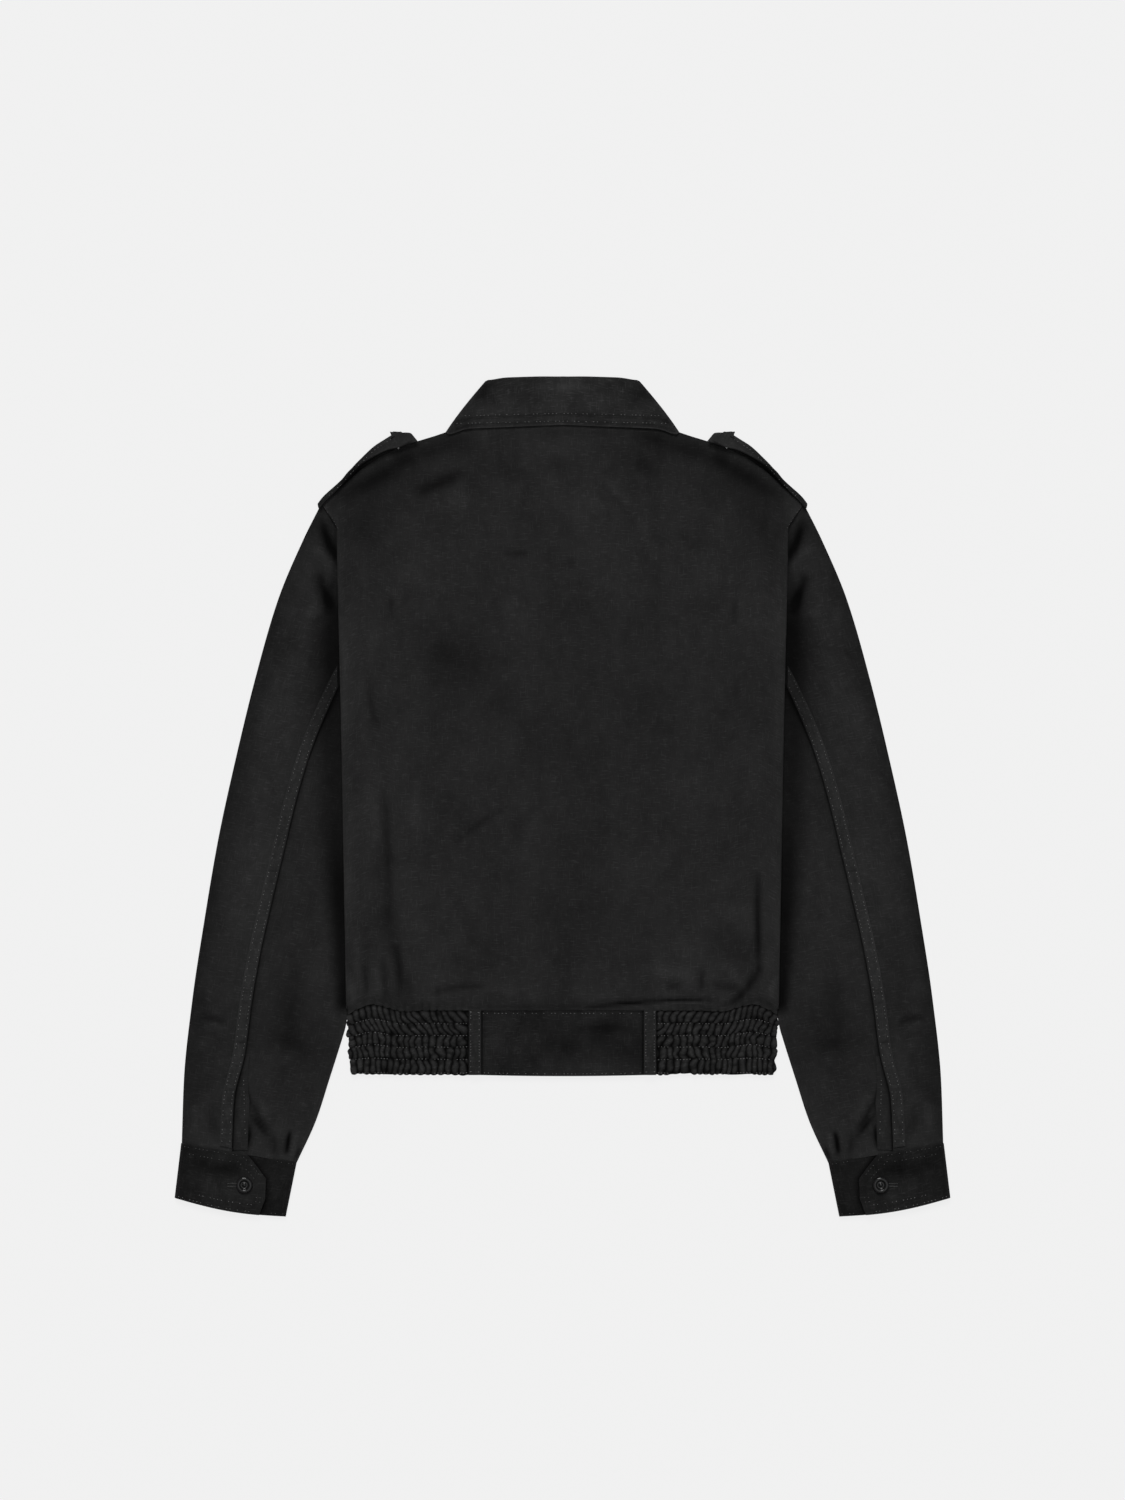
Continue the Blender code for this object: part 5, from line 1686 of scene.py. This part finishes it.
@dataclass
class CollarFall:
    """The collar's fall as a flattened ring: its back on top, its two points beneath."""

    top: float = 399.4
    edge_up: float = 352.6
    wall: float = 1.6
    levels: Pair = (0.8, 6.1)
    fold: Points = ((73.6, 399.4), (111.0, 350.2))
    front: Points = ((6.0, 327.0), (45.0, 277.0))
    roll: float = 1.0
    corner_drop: float = 1.8
    foot_drop: float = 4.6
    drop_from: Pair = (0.70, 0.78)
    drop_power: float = 1.5
    half_columns: int = 56
    stitch_rows: Points = ((3.4, 101.0), (10.8, 93.0))
    rows: int = 58
    grooves: tuple[float, ...] = (1.9, 3.6, 9.1, 11.0)
    relief: Relief = Relief(
        creases=folds(
            (-26, 386, 26, 386, 5, 0.9), (-40, 392, 40, 392, 3, -0.5), (60, 366, 78, 386, 6, -0.9),
            (-58, 366, -78, 386, 6, -0.9), (-34, 372, -30, 388, 5, -0.4),
            (30, 366, 38, 380, 5, 0.4),
        ),
        sizes=((46.0, 0.7), (18.0, 0.35), (8.0, 0.12)),
        # Patches of painted shade and light: darker at the collar's sides and corners, paler across
        # its top.
        fades=folds(
            (-86, 372, -68, 398, 7, -0.3), (86, 372, 68, 398, 7, -0.3),
            (-24, 392, 32, 392, 6, 0.2), (-112, 355, -84, 356, 7, -0.2),
            (112, 355, 84, 356, 7, -0.2), (-50, 380, -20, 370, 8, -0.12),
            (20, 372, 60, 380, 9, 0.1),
        ), seed=120, fold_shade_share=0.3)

    def ring(self, down: float) -> tuple[Array, Array]:
        """Return half the ring at one share of its width.

        Args:
            down: 0 at the roll, 1 at the outer edge.

        Returns:
            The points, and the directions towards the ring's inside.
        """
        low, high = self.levels
        radius = (high - low) / 2.0
        inset = self.roll + self.wall / 2.0
        head = np.array(self.fold[0]) - (0.0, inset)
        foot = np.array(self.fold[1])
        run = (foot - head) / np.linalg.norm(foot - head)
        sideways = np.array((-run[1], run[0]))
        sideways = sideways * np.sign(sideways[0])
        corner = mix(head, foot, down) - sideways * (radius + self.wall / 2.0)
        part = row_shares(self.half_columns)
        back = np.array((0.0, mix(self.top - inset, self.edge_up, down)))
        plan = mix(back, corner, part)
        falls = self.corner_drop * (1.0 - down), self.foot_drop * down**3
        for fall, begin in zip(falls, self.drop_from):
            plan[:, 1] -= fall * ease(begin, 1.0, part[:, 0]) ** self.drop_power
        drop = sum(falls)
        plan[:, 1] -= 0.8 * (1.0 - down) * np.exp(-(plan[:, 0] / 16.0) ** 2)
        upper = np.column_stack((plan, np.full(len(plan), high)))
        angle = np.linspace(0.0, math.pi, 10)[1:-1, None]
        level_out = sideways - (0.0, 1.25 * sideways[1] * (1.0 - down))
        turned = corner - (0.0, drop) + level_out * radius * np.sin(angle)
        turned = np.column_stack((turned, low + radius * (1.0 + np.cos(angle))))
        end = mix(np.array(self.front[0]), np.array(self.front[1]), down)
        plan = mix(corner - (0.0, drop), end, row_shares(24))
        under = np.column_stack((plan, np.full(len(plan), low)))
        inward = np.concatenate((
            np.tile((0.0, 0.0, -1.0), (len(upper), 1)),
            np.column_stack((-sideways * np.sin(angle), -np.cos(angle))),
            np.tile((0.0, 0.0, 1.0), (len(under), 1))))
        return np.concatenate((upper, turned, under)), inward

    def panel(self) -> Panel:
        """Shape the fall, from its outer edge over the back to the roll and its lip.

        Returns:
            The panel.
        """
        halves = [self.ring(down)[0] for down in np.linspace(1.0, 0.0, self.rows)]
        edge, inward = self.ring(0.0)
        outward = edge - self.ring(0.05)[0]
        outward = outward / np.linalg.norm(outward, axis=1)[:, None]
        for angle in np.radians(np.linspace(0.0, 90.0, 6)[1:]):
            halves.append(edge + self.roll * (outward * math.sin(angle)
                                              + inward * (1.0 - math.cos(angle))))
        whole = both_halves(halves)
        middle = whole.shape[1] // 2
        shown = slice(middle + 1 - self.half_columns, middle + self.half_columns)
        upper = whole[:self.rows, shown]
        x, y = upper[..., 0].copy(), upper[..., 1].copy()
        rows = row_shares(self.rows)
        part = abs(shares(upper.shape[1], -1.0, 1.0))
        free = ease(0.0, 0.05, rows) * ease(0.0, 0.08, 1.0 - rows) * ease(0.0, 0.12, 1.0 - part)
        above = rows * (self.top - self.edge_up)
        groove = 0.7 * sum(np.exp(-((above - place) / 0.8) ** 2) for place in self.grooves)
        puckers = swells(x, 0.0, 5.0, 131) * np.exp(-((above - 6.4) / 4.2) ** 2)
        upper[..., 2] += free * (self.relief(x, y) - 0.45 * groove + 0.25 * puckers)
        # Painted shade in the stitched grooves and painted light on the puckers.
        dye = self.relief.dye(whole[..., 0], whole[..., 1])
        dye[:self.rows, shown] += 0.16 * puckers - 0.42 * groove
        return Panel(whole, (0,), (), 1.4, dye)

    def build(self, workroom: Workroom) -> Piece:
        """Make the fall and its two rows of topstitching.

        Args:
            workroom: The finishes, and the way into the model.

        Returns:
            The finished piece.
        """
        piece = workroom.make(self.panel(), "collar_turnover", self.wall, "collar", "collar_fall",
                              Held.FOLDED, "back", "collar_stand")
        corner_up = self.fold[1][1]
        rows = []
        for above, reach in self.stitch_rows:
            side = corner_up + above + 0.2
            rows.append(StitchRow(((-reach, side), (0.0, self.edge_up + above), (reach, side))))
        Needle(workroom).sew("collar_stitches", rows, [piece])
        return piece


@dataclass
class CollarStand:
    """The stand inside the fall, sewn to the neckline all round."""

    fold: Points = ((63.5, 388.0), (106.6, 352.2))
    front_top: Pair = (6.0, 322.0)
    levels: Pair = (2.5, 4.1)
    top: float = 396.3
    seam_lap: float = 0.6
    neck_gap: float = 0.5
    rows: int = 20

    def ring(self, down: float) -> Array:
        """Return half the ring at one share of its width.

        Args:
            down: 0 at its top, 1 at the neckline.

        Returns:
            The points.
        """
        low, high = self.levels
        radius = (high - low) / 2.0
        run = np.subtract(self.fold[1], self.fold[0])
        run = run / np.linalg.norm(run)
        sideways = np.array((-run[1], run[0]))
        inset = sideways * (radius + DRAFT.cloth / 2.0)
        corner = mix(np.array(self.fold[0]), np.array(self.fold[1]), down) - inset
        out = corner[0] * np.linspace(0.0, 0.94, 40)
        back = np.column_stack((out, mix(self.top, DRAFT.top(out) + self.seam_lap, down),
                                np.full(len(out), high)))
        angle = np.linspace(0.0, math.pi, 9)[:, None]
        turned = np.column_stack((corner + sideways * radius * np.sin(angle),
                                  low + radius * (1.0 + np.cos(angle))))
        turn = np.radians(np.linspace(8.0, 89.0, 24))
        first = np.array(self.front_top)
        edge = mix(np.array(self.fold[0]) - inset, first, (turn / turn[-1])[:, None])
        shape = Front(Side.RIGHT)
        neck = np.column_stack((shape.neck[0] * np.cos(turn),
                                shape.neck[1] - shape.neck_drop * np.sin(turn) + self.neck_gap))
        front = np.column_stack((mix(edge, neck, down), np.full(len(turn), low)))
        return np.concatenate((back, turned, front))

    def build(self, workroom: Workroom) -> Piece:
        """Make the stand."""
        whole = both_halves([self.ring(down) for down in np.linspace(1.0, 0.0, self.rows)])
        return workroom.make(Panel(whole, dye=-0.1), "collar_band", DRAFT.cloth, "collar",
                             "collar_stand", Held.FOLDED, "front_left", "front_right")


# Shoulder straps


@dataclass
class Strap:
    """A shoulder strap folded over the shoulder, its edge and tip standing off the back."""

    side: Side
    wall: float = 1.6
    start: Pair = (135.0, 337.3)
    along_way: Pair = (0.847, -0.531)
    out_way: Pair = (0.531, 0.847)
    level: float = 6.6
    lift: float = 2.6
    near: Edge = Edge((
        (2.2, 0.8), (6, 1.8), (12, 3.2), (20, 5), (30, 8.2), (40, 9.6), (58, 9.6), (72, 7.4),
        (85, 3.2), (105, -0.6), (115.5, -3.6)))
    # Edge of the strap's lit face; from the near edge up to it the face is painted in shadow.
    shown: Edge = Edge((
        (2.2, 0.8), (6, 5), (20, 6.2), (30, 9.6), (50, 11.6), (60, 11.6), (70, 9.6), (80, 6.6),
        (90, 3.6), (100, 1.2), (108, -0.6), (115.5, -3)))
    end: float = 115.5
    tip: tuple[Triple, ...] = (
        (0.0, 2.2, 0.8), (0.5, 3.2, 9.6), (0.62, 4.2, 11.4), (1.0, 13.0, 16.4))
    fold: Edge = Edge((
        (4, 13.5), (16, 19.4), (35, 19.4), (58, 15.6), (85, 8.2), (105, 4.6), (112, 2.2),
        (115.5, 0.2)))
    fold_from: float = 16.0
    fold_tuck: float = 4.5
    under_ends: Pair = (26.0, 104.0)
    stitches: Triple = (22.0, 102.0, -3.6)
    under: Edge = Edge((
        (4, 3), (16, 0), (35, -6), (58, -12), (85, -18), (105, -22), (115.5, -22)))
    rows: int = 90

    def place(self, along: Array, out: Array, level: Value) -> Array:
        """Turn the strap's own directions into the jacket's.

        Args:
            along: Distances along the strap.
            out: Distances out from the shoulder's line.
            level: Heights over the surface.

        Returns:
            The points.
        """
        along, out, level = np.broadcast_arrays(along, out, level)
        x = self.start[0] + self.along_way[0] * along + self.out_way[0] * out
        y = self.start[1] + self.along_way[1] * along + self.out_way[1] * out
        return np.stack((x, y, level), axis=-1)

    def centre(self, along: Array, radius: float) -> Array:
        """Return where the fold beyond the shoulder starts to turn."""
        return np.maximum(self.fold(along) - radius - self.wall / 2.0, self.near(along) + 1.0)

    def panel(self) -> Panel:
        """Shape the strap: upper part, fold beyond the shoulder, and under part.

        Returns:
            The panel on the +X side.
        """
        share = row_shares(self.rows)
        low = self.wall / 2.0
        radius = (self.level - low) / 2.0
        part = shares(18)[:, :-1]
        tip_part, tip_along, tip_out = np.array(self.tip).T
        first = np.interp(part, tip_part, tip_along)
        along = mix(first, self.end, share)
        lift = self.lift * (1.0 - part) * (1.0 - ease(60.0, 100.0, along))
        out = mix(self.near(along), self.centre(along, radius), part)
        tip = np.interp(part, tip_part, tip_out)
        out = out + (tip - out[:1]) * (1.0 - ease(0.0, 0.12, share))
        upper = self.place(along, out, self.level + lift)
        # Painted light on the tip, painted shade further along, and a painted shadow wedge below
        # the lit face.
        tone = 0.16 * (1.0 - ease(20.0, 34.0, along)) - 0.30 * ease(26.0, 70.0, along)
        tone = tone - 0.75 * ease(0.0, 1.6, self.shown(along) - out) * ease(4.0, 10.0, along)
        turn = shares(11, 0.0, math.pi)
        along = mix(self.fold_from, self.end - self.fold_tuck * turn / math.pi, share)
        fold = self.place(along, self.centre(along, radius) + radius * np.sin(turn),
                          low + radius * (1 + np.cos(turn)))
        part = shares(8)[:, 1:]
        along = mix(mix(self.fold_from, self.under_ends[0], part),
                    mix(self.end - self.fold_tuck, self.under_ends[1], part), share)
        under = self.place(along, mix(self.centre(along, radius), self.under(along), part), low)
        grid = np.concatenate((upper, fold, under), axis=1)[::-1]
        rest = np.broadcast_to(tone[:, -1:], (self.rows, grid.shape[1] - tone.shape[1]))
        return Panel(grid, (0, -1), (0,), 1.2, np.concatenate((tone, rest), axis=1)[::-1])

    def line(self) -> StitchRow:
        """Set out the stitches beside the fold.

        Returns:
            Their row.
        """
        low, high, inset = self.stitches
        along = np.linspace(low, high, 40)
        points = self.place(along, self.fold(along) + inset, 0.0)
        return StitchRow.on(self.side, points, thick=0.48)

    def build(self, workroom: Workroom) -> Piece:
        """Make the strap and its stitches.

        Args:
            workroom: The finishes, and the way into the model.

        Returns:
            The finished piece.
        """
        word = self.side.word
        piece = workroom.make(self.panel().mirrored(self.side), f"shoulder_strap_{word}",
                              self.wall, "trim", f"epaulette_{word}", Held.FOLDED, "back")
        Needle(workroom).sew(f"strap_stitches_{word}", [self.line()], [piece])
        return piece


# Waistband


@dataclass
class BandBack:
    """The flat centre-back panel of the waistband."""

    half: float = 82.9
    strip_edge: float = 76.4
    stitch_half: float = 76.0
    foot: float = -265.2
    sag: float = 1.2
    level: float = 4.4
    wall: float = 1.8
    relief: Relief = Relief(
        creases=folds(
            (-64, -226, -58, -250, 6, 0.5), (24, -217, 58, -214, 5, -0.7),
            (50, -230, 70, -256, 6, -0.6), (-20, -236, 20, -240, 8, -0.5),
        ),
        sizes=((40.0, 0.6), (17.0, 0.3), (8.0, 0.14)),
        fades=folds(
            # Patches of painted shade and light on the band.
            (-26, -238, 66, -232, 17, -0.36), (12, -221, 64, -220, 5, -0.36),
            (18, -218, 58, -218, 1.8, -0.10), (24, -230, 52, -226, 6, -0.16),
            (-37.5, -224, -37.5, -239, 3, 0.3), (-72, -212, -62, -252, 9, 0.16),
            (-20, -254, 60, -258, 4, 0.14), (66, -210, 74, -262, 7, -0.3),
        ), seed=140, fold_shade_share=0.3)

    def foot_line(self, x: Array) -> Array:
        """Return the sagging lower edge."""
        return self.foot + self.sag * (x / self.half) ** 2

    def build(self, workroom: Workroom) -> Piece:
        """Make the panel and its two rows of stitches.

        Args:
            workroom: The finishes, and the way into the model.

        Returns:
            The finished piece.
        """
        part = row_shares(50)
        x = shares(130, -self.half, self.half)
        hem = DRAFT.hem_line(abs(x))
        y = mix(self.foot_line(x), hem - DRAFT.seam_gap, part)
        free = ease(0.0, 0.12, part) * ease(0.0, 0.12, 1.0 - part)
        level = self.level + free * ease(0.0, 8.0, self.half - abs(x)) * self.relief(x, y)
        # A painted shadow under the back's hem along the band's top, and one beside each stitched
        # strip.
        dye = self.relief.dye(x, y) - 0.6 * np.exp(-(hem - y) / 1.6)
        dye = dye - 0.85 * np.exp(-abs(abs(x) - self.strip_edge) / 1.3)
        piece = workroom.make(Panel(grid_of(x, y, level), (0,), (), 1.2, dye), "band_centre",
                              self.wall, "band", "waistband_back", Held.LAID,
                              "waistband_front_left")
        edge = np.linspace(1.0 - self.stitch_half, self.stitch_half - 1.0, 30)
        high = DRAFT.hem - 4.6
        rows = [StitchRow(((-self.stitch_half, high), (self.stitch_half, high))),
                StitchRow(tuple(zip(edge, self.foot_line(edge) + 2.2)))]
        Needle(workroom).sew("band_centre_stitches", rows, [piece])
        return piece


@dataclass
class BandStrip:
    """A narrow stitched strip where the flat and the shirred band meet."""

    side: Side
    span: Pair = (77.2, 88.8)
    foot: float = -264.0
    level: float = 6.2
    wall: float = 1.2

    def build(self, workroom: Workroom) -> Piece:
        """Make the strip, its two rows of stitches and its bar tacks.

        Args:
            workroom: The finishes, and the way into the model.

        Returns:
            The finished piece.
        """
        word = self.side.word
        x = shares(9, *self.span)
        y = mix(self.foot, DRAFT.hem - DRAFT.seam_gap, row_shares(44))
        across = (x - self.span[0]) / (self.span[1] - self.span[0])
        ribs = swells(x, y, 6.0, 150)
        level = self.level + 0.3 * np.sin(math.pi * across) + 0.25 * ribs
        # Painted light on the strip's raised ribs, and a little paler all over.
        panel = Panel(grid_of(x, y, level), (), (), 1.0, 0.08 + 0.16 * ribs).mirrored(self.side)
        piece = workroom.make(panel, f"band_loop_{word}", self.wall, "trim",
                              f"band_strip_{word}", Held.LAID, "waistband_back")
        low, high = self.foot + 3.0, DRAFT.hem - 3.0
        start, end = self.span
        rows = [StitchRow.on(self.side, ((out, high), (out, low)), pitch=2.7)
                for out in (start + 1.8, end - 1.8)]
        rows += [StitchRow.on(self.side, ((start + 1.0, up + tilt), (end - 0.8, up)), pitch=1.9,
                              length=1.7) for up, tilt in ((high, -0.9), (low + 0.2, -0.3))]
        Needle(workroom).sew(f"band_loop_stitches_{word}", rows, [piece])
        return piece


@dataclass
class BandShirred:
    """A shirred, elasticated side of the waistband, wrapped round the body's side."""

    side: Side
    start: float = 83.2
    plain: float = 90.0
    end: float = 204.8
    taper: float = 0.017
    wave: float = 1.5
    front_end: float = 150.0
    foot: float = -263.4
    inside: float = 2.6
    outside: float = 4.2
    tuck: float = 0.5
    wall: float = 1.1
    channels: tuple[float, ...] = (0.0, 0.205, 0.395, 0.577, 0.766, 0.985)
    height: float = 3.0
    spacing: Pair = (7.6, 5.4)
    valley_dye: float = -0.95
    ridge_dye: float = 0.62

    @property
    def seed(self) -> int:
        """Return this side's own pattern of folds."""
        return 200 if self.side is Side.RIGHT else 230

    def phase(self, out: Array) -> Array:
        """Count the gathers, closer together towards the body's side.

        Args:
            out: Distances from the centre line, along the cloth.

        Returns:
            How many lie between the strip and each place.
        """
        run = np.clip(out - self.plain, 0.0, None)
        room = self.end - self.plain
        near, far = self.spacing
        return run / near + (1.0 / far - 1.0 / near) * run**2 / (2.0 * room)

    def gathers(self, out: Array, down: Array) -> Array:
        """Return the ruched cloth's height over its lining, from 0 in a valley.

        Args:
            out: Distances from the centre line, along the cloth.
            down: Shares of the band's height from its top.

        Returns:
            The height in millimetres.
        """
        marks = np.array(self.channels)
        band = np.clip(np.searchsorted(marks, down, "right") - 1, 0, len(marks) - 2)
        share = np.clip((down - marks[band]) / (marks[band + 1] - marks[band]), 0.0, 1.0)
        puff = np.sin(math.pi * share) ** 0.55
        shift = sum(np.where(band == index, swells(out, 30.0 * index, 17.0, self.seed + index),
                             0.0) for index in range(len(marks) - 1))
        slanted = (share - 0.5) * (0.55 * swells(out, 11.0 * band, 23.0, self.seed + 9)
                                   + np.where(band < 2, 0.85, 0.15))
        sway = 0.5 * swells(out, 24.0 * (band + share), 12.0, self.seed + 15)
        turn = math.pi * (self.phase(out) + 0.45 * shift + slanted + sway)
        fold = abs(np.sin(turn)) ** 1.1
        uneven = 0.84 + 0.6 * swells(out, 24.0 * (band + share), 6.0, self.seed + 12)
        pinch = mix(0.5, 1.0, puff)
        return self.height * fold * np.clip(uneven, 0.2, 1.3) * pinch + 0.35 * (puff - 1.0)

    def panel(self) -> Panel:
        """Sweep the band's section down its height, gathered along its normals.

        Returns:
            The panel on the +X side.
        """
        radius = (self.inside + self.outside) / 4.0
        centre = self.end - radius - self.wall / 2.0 - 1.0
        flat = np.linspace(self.start, centre, 230)
        angle = np.linspace(0.0, math.pi, 16)[1:-1]
        back = np.linspace(centre, self.front_end, 24)
        middle = radius + self.wall / 2.0
        x = np.concatenate((flat, centre + radius * np.sin(angle), back))
        normal_x, normal_z = (np.concatenate((np.full(len(flat), first), turned,
                                              np.full(len(back), last)))
                              for first, turned, last in ((0.0, np.sin(angle), 0.0),
                                                          (1.0, np.cos(angle), -1.0)))
        z = middle + radius * normal_z
        run = np.concatenate((flat, centre + radius * angle, centre + radius * math.pi
                              + (centre - back)))
        down = row_shares(74, 1.0, 0.0)
        height = self.gathers(run[None], down)
        gathered = ease(self.start + 1.0, self.plain + 3.0, run)[None]
        height = height * gathered
        height = height * np.clip(1.0 + normal_z, 0.0, 1.0)[None]
        height = height * mix(0.4, 1.0, ease(0.0, 0.07, down))
        wave = self.wave * swells(run, 0.0, 21.0, self.seed + 20)[None]
        foot = self.foot + wave - 2.4 * np.clip(height / self.height, 0.0, 1.0) * ease(
            0.88, 1.0, down)
        x = x[None] * (1.0 - self.taper * down * ease(self.plain, self.end, x)[None])
        up = mix(DRAFT.hem_line(run[None]) + self.tuck, foot, down)
        grid = grid_of(x + normal_x * height, up, z + normal_z * height)
        # Painted shade in the valleys of the gathers and painted light on their ridges.
        fold = np.clip((height + 0.35) / self.height, 0.0, 1.0)
        dye = mix(self.valley_dye, self.ridge_dye, ease(0.08, 0.98, fold))
        # Painted shadows: the plain part by the strip, a band under the back's hem along the top,
        # and beside the strip.
        dye = mix(dye, -0.35, 1.0 - gathered)
        dye = dye - 0.6 * np.exp(-(down / 0.02) ** 2)
        dye = dye - 0.5 * np.exp(-(run[None] - 88.8) ** 2 / 4.0)
        return Panel(grid, (0,), (), 1.2, dye, False)

    def build(self, workroom: Workroom) -> Piece:
        """Make the shirred side and its channels of elastic stitching.

        Args:
            workroom: The finishes, and the way into the model.

        Returns:
            The finished piece.
        """
        word = self.side.word
        piece = workroom.make(self.panel().mirrored(self.side), f"shirred_band_{word}", self.wall,
                              "shirred", f"waistband_side_{word}", Held.GATHERED,
                              "waistband_front_left")
        out = np.linspace(self.plain, self.end - 3.0, 60)
        rows = []
        for share in self.channels[1:]:
            up = mix(DRAFT.hem_line(out), self.foot, share)
            up = up + 0.8 * swells(out, 60.0 * share, 13.0, 260)
            rows.append(StitchRow.on(self.side, zip(out, up), pitch=3.0, length=1.2, thick=0.6))
        Needle(workroom).sew(f"shirring_stitches_{word}", rows, [piece])
        return piece


@dataclass
class BandFront:
    """A plain front of the waistband; the right one lies on the left one."""

    side: Side
    overlap: float = 15.0
    end: float = 149.7
    foot: float = -262.0
    step: Pair = (17.0, 28.0)
    wall: float = 1.4

    def build(self, workroom: Workroom) -> Piece:
        """Make the front of the band.

        Args:
            workroom: The finishes, and the way into the model.

        Returns:
            The finished piece.
        """
        part = row_shares(24)
        x = shares(90, -self.overlap, self.end)
        y = mix(self.foot, DRAFT.hem - DRAFT.seam_gap, part)
        free = ease(30.0, 50.0, x) * ease(0.0, 20.0, self.end - x) * 4.0 * part * (1.0 - part)
        level = self.wall / 2.0 + free * np.maximum(0.5 * swells(x, y, 24.0, 320), 0.0)
        if self.side is Side.RIGHT:
            level = level + (self.wall + DRAFT.seam_gap) * (1.0 - ease(*self.step, x))
        panel = Panel(grid_of(x, y, level), (0,), (0,), 1.6, 0.12 * swells(x, y, 17.0, 322))
        word = self.side.word
        return workroom.make(panel.mirrored(self.side), f"band_front_{word}", self.wall, "band",
                             f"waistband_front_{word}", Held.LAID, f"waistband_side_{word}")


# Studio


@dataclass(frozen=True)
class Studio:
    """The pale floor, the soft light and the camera straight above the jacket."""

    photo_rows: int = 1500
    pixel: float = 0.95
    centre_row: float = 796.5
    lens: float = 85.0
    sensor: float = 36.0
    floor_size: float = 30.0
    floor_gap: float = 0.2
    floor_grey: float = 0.06
    floor_glow: float = 0.815
    fill: float = 0.24
    lamps: tuple[tuple[str, Triple, float, float], ...] = (
        ("key", (-44.0, -8.0, 0.0), 2.4, 26.0), ("overhead", (6.0, 14.0, 0.0), 0.8, 60.0))

    def build(self) -> None:
        """Make the floor, the lights and the camera."""
        self._floor()
        self._lights()
        self._camera()

    def _floor(self) -> None:
        """Lay the pale floor, a light table that keeps only a faint shadow at the cloth's edge."""
        bpy.ops.object.select_all(action="DESELECT")
        bpy.ops.mesh.primitive_plane_add(size=self.floor_size,
                                         location=(0.0, 0.0, -self.floor_gap * MM))
        floor = bpy.context.object
        floor.name = "studio_floor"
        graph = Graph("studio_floor")
        cloud = graph.node("ShaderNodeTexNoise", {}, {"Scale": 2.0}, "Fac")
        colour = graph.tones(cloud, self.floor_grey, self.floor_grey * 1.02)
        floor.data.materials.append(graph.finish({
            "Base Color": colour, "Roughness": 0.9, "Specular IOR Level": 0.0,
            "Emission Color": grey(1.0), "Emission Strength": self.floor_glow}))
        floor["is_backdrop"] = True

    def _lights(self) -> None:
        """Hang the soft key light beyond the collar and a broad one overhead, with little fill."""
        world = bpy.data.worlds.new("studio_fill")
        bpy.context.scene.world = world
        world.use_nodes = True
        background = world.node_tree.nodes["Background"].inputs
        background["Color"].default_value = grey(1.0)
        background["Strength"].default_value = self.fill
        for name, turn, strength, spread in self.lamps:
            lamp = bpy.data.lights.new(f"studio_{name}", "SUN")
            lamp.energy = strength
            lamp.angle = math.radians(spread)
            light = bpy.data.objects.new(f"studio_{name}", lamp)
            light.rotation_euler = [math.radians(angle) for angle in turn]
            bpy.context.scene.collection.objects.link(light)
        bpy.context.scene.view_settings.view_transform = "Standard"

    def _camera(self) -> None:
        """Set the camera so that the photo's frame covers the same stretch of the surface."""
        data = bpy.data.cameras.new("photo_camera")
        data.lens = self.lens
        data.sensor_width = self.sensor
        data.sensor_fit = "AUTO"
        distance = self.photo_rows * self.pixel * self.lens / self.sensor
        data.clip_end = 100.0
        camera = bpy.data.objects.new("photo_camera", data)
        middle_up = (self.centre_row - self.photo_rows / 2.0) * self.pixel
        camera.location = Vector((0.0, middle_up, distance)) * MM
        bpy.context.scene.collection.objects.link(camera)
        bpy.context.scene.camera = camera


def corners() -> list[list[float]]:
    """Return the shown object's lowest and highest corners as plain lists."""
    return [[float(value) for value in corner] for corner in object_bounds()]


def main() -> None:
    """Load the frame and build the jacket round it."""
    logging.basicConfig(level=logging.INFO, format="%(name)s: %(message)s")
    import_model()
    cotton = {finish.name: finish.build() for finish in (
        CottonFinish("body", (0.3, 0.7)), CottonFinish("sleeve", (2.1, 1.3), 0.415),
        CottonFinish("trim", (4.6, 0.2)), CottonFinish("cuff", (5.3, 2.9), 0.275, cloud=0.44),
        CottonFinish("collar", (7.7, 3.1), 0.48, cloud=0.5, patch=0.36, slub=0.42),
        CottonFinish("band", (9.1, 4.4), 0.32, cloud=0.44),
        CottonFinish("shirred", (11.3, 5.6), 0.335))}
    # The second thread is a darker copy: dark thread, and a shaded copy for stitches in painted
    # shade.
    workroom = Workroom(cotton, ThreadFinish().build(), ThreadFinish("dark_and_shaded_thread", 0.04).build(),
                        ButtonFinish().build())
    Back().build(workroom)
    for side in Side:
        for part in (Front, BandFront, Sleeve, Cuff, Button, Strap, BandShirred, BandStrip):
            part(side).build(workroom)
    for part in (BandBack, CollarStand, CollarFall):
        part().build(workroom)
    Studio().build()


if __name__ == "__main__":
    main()
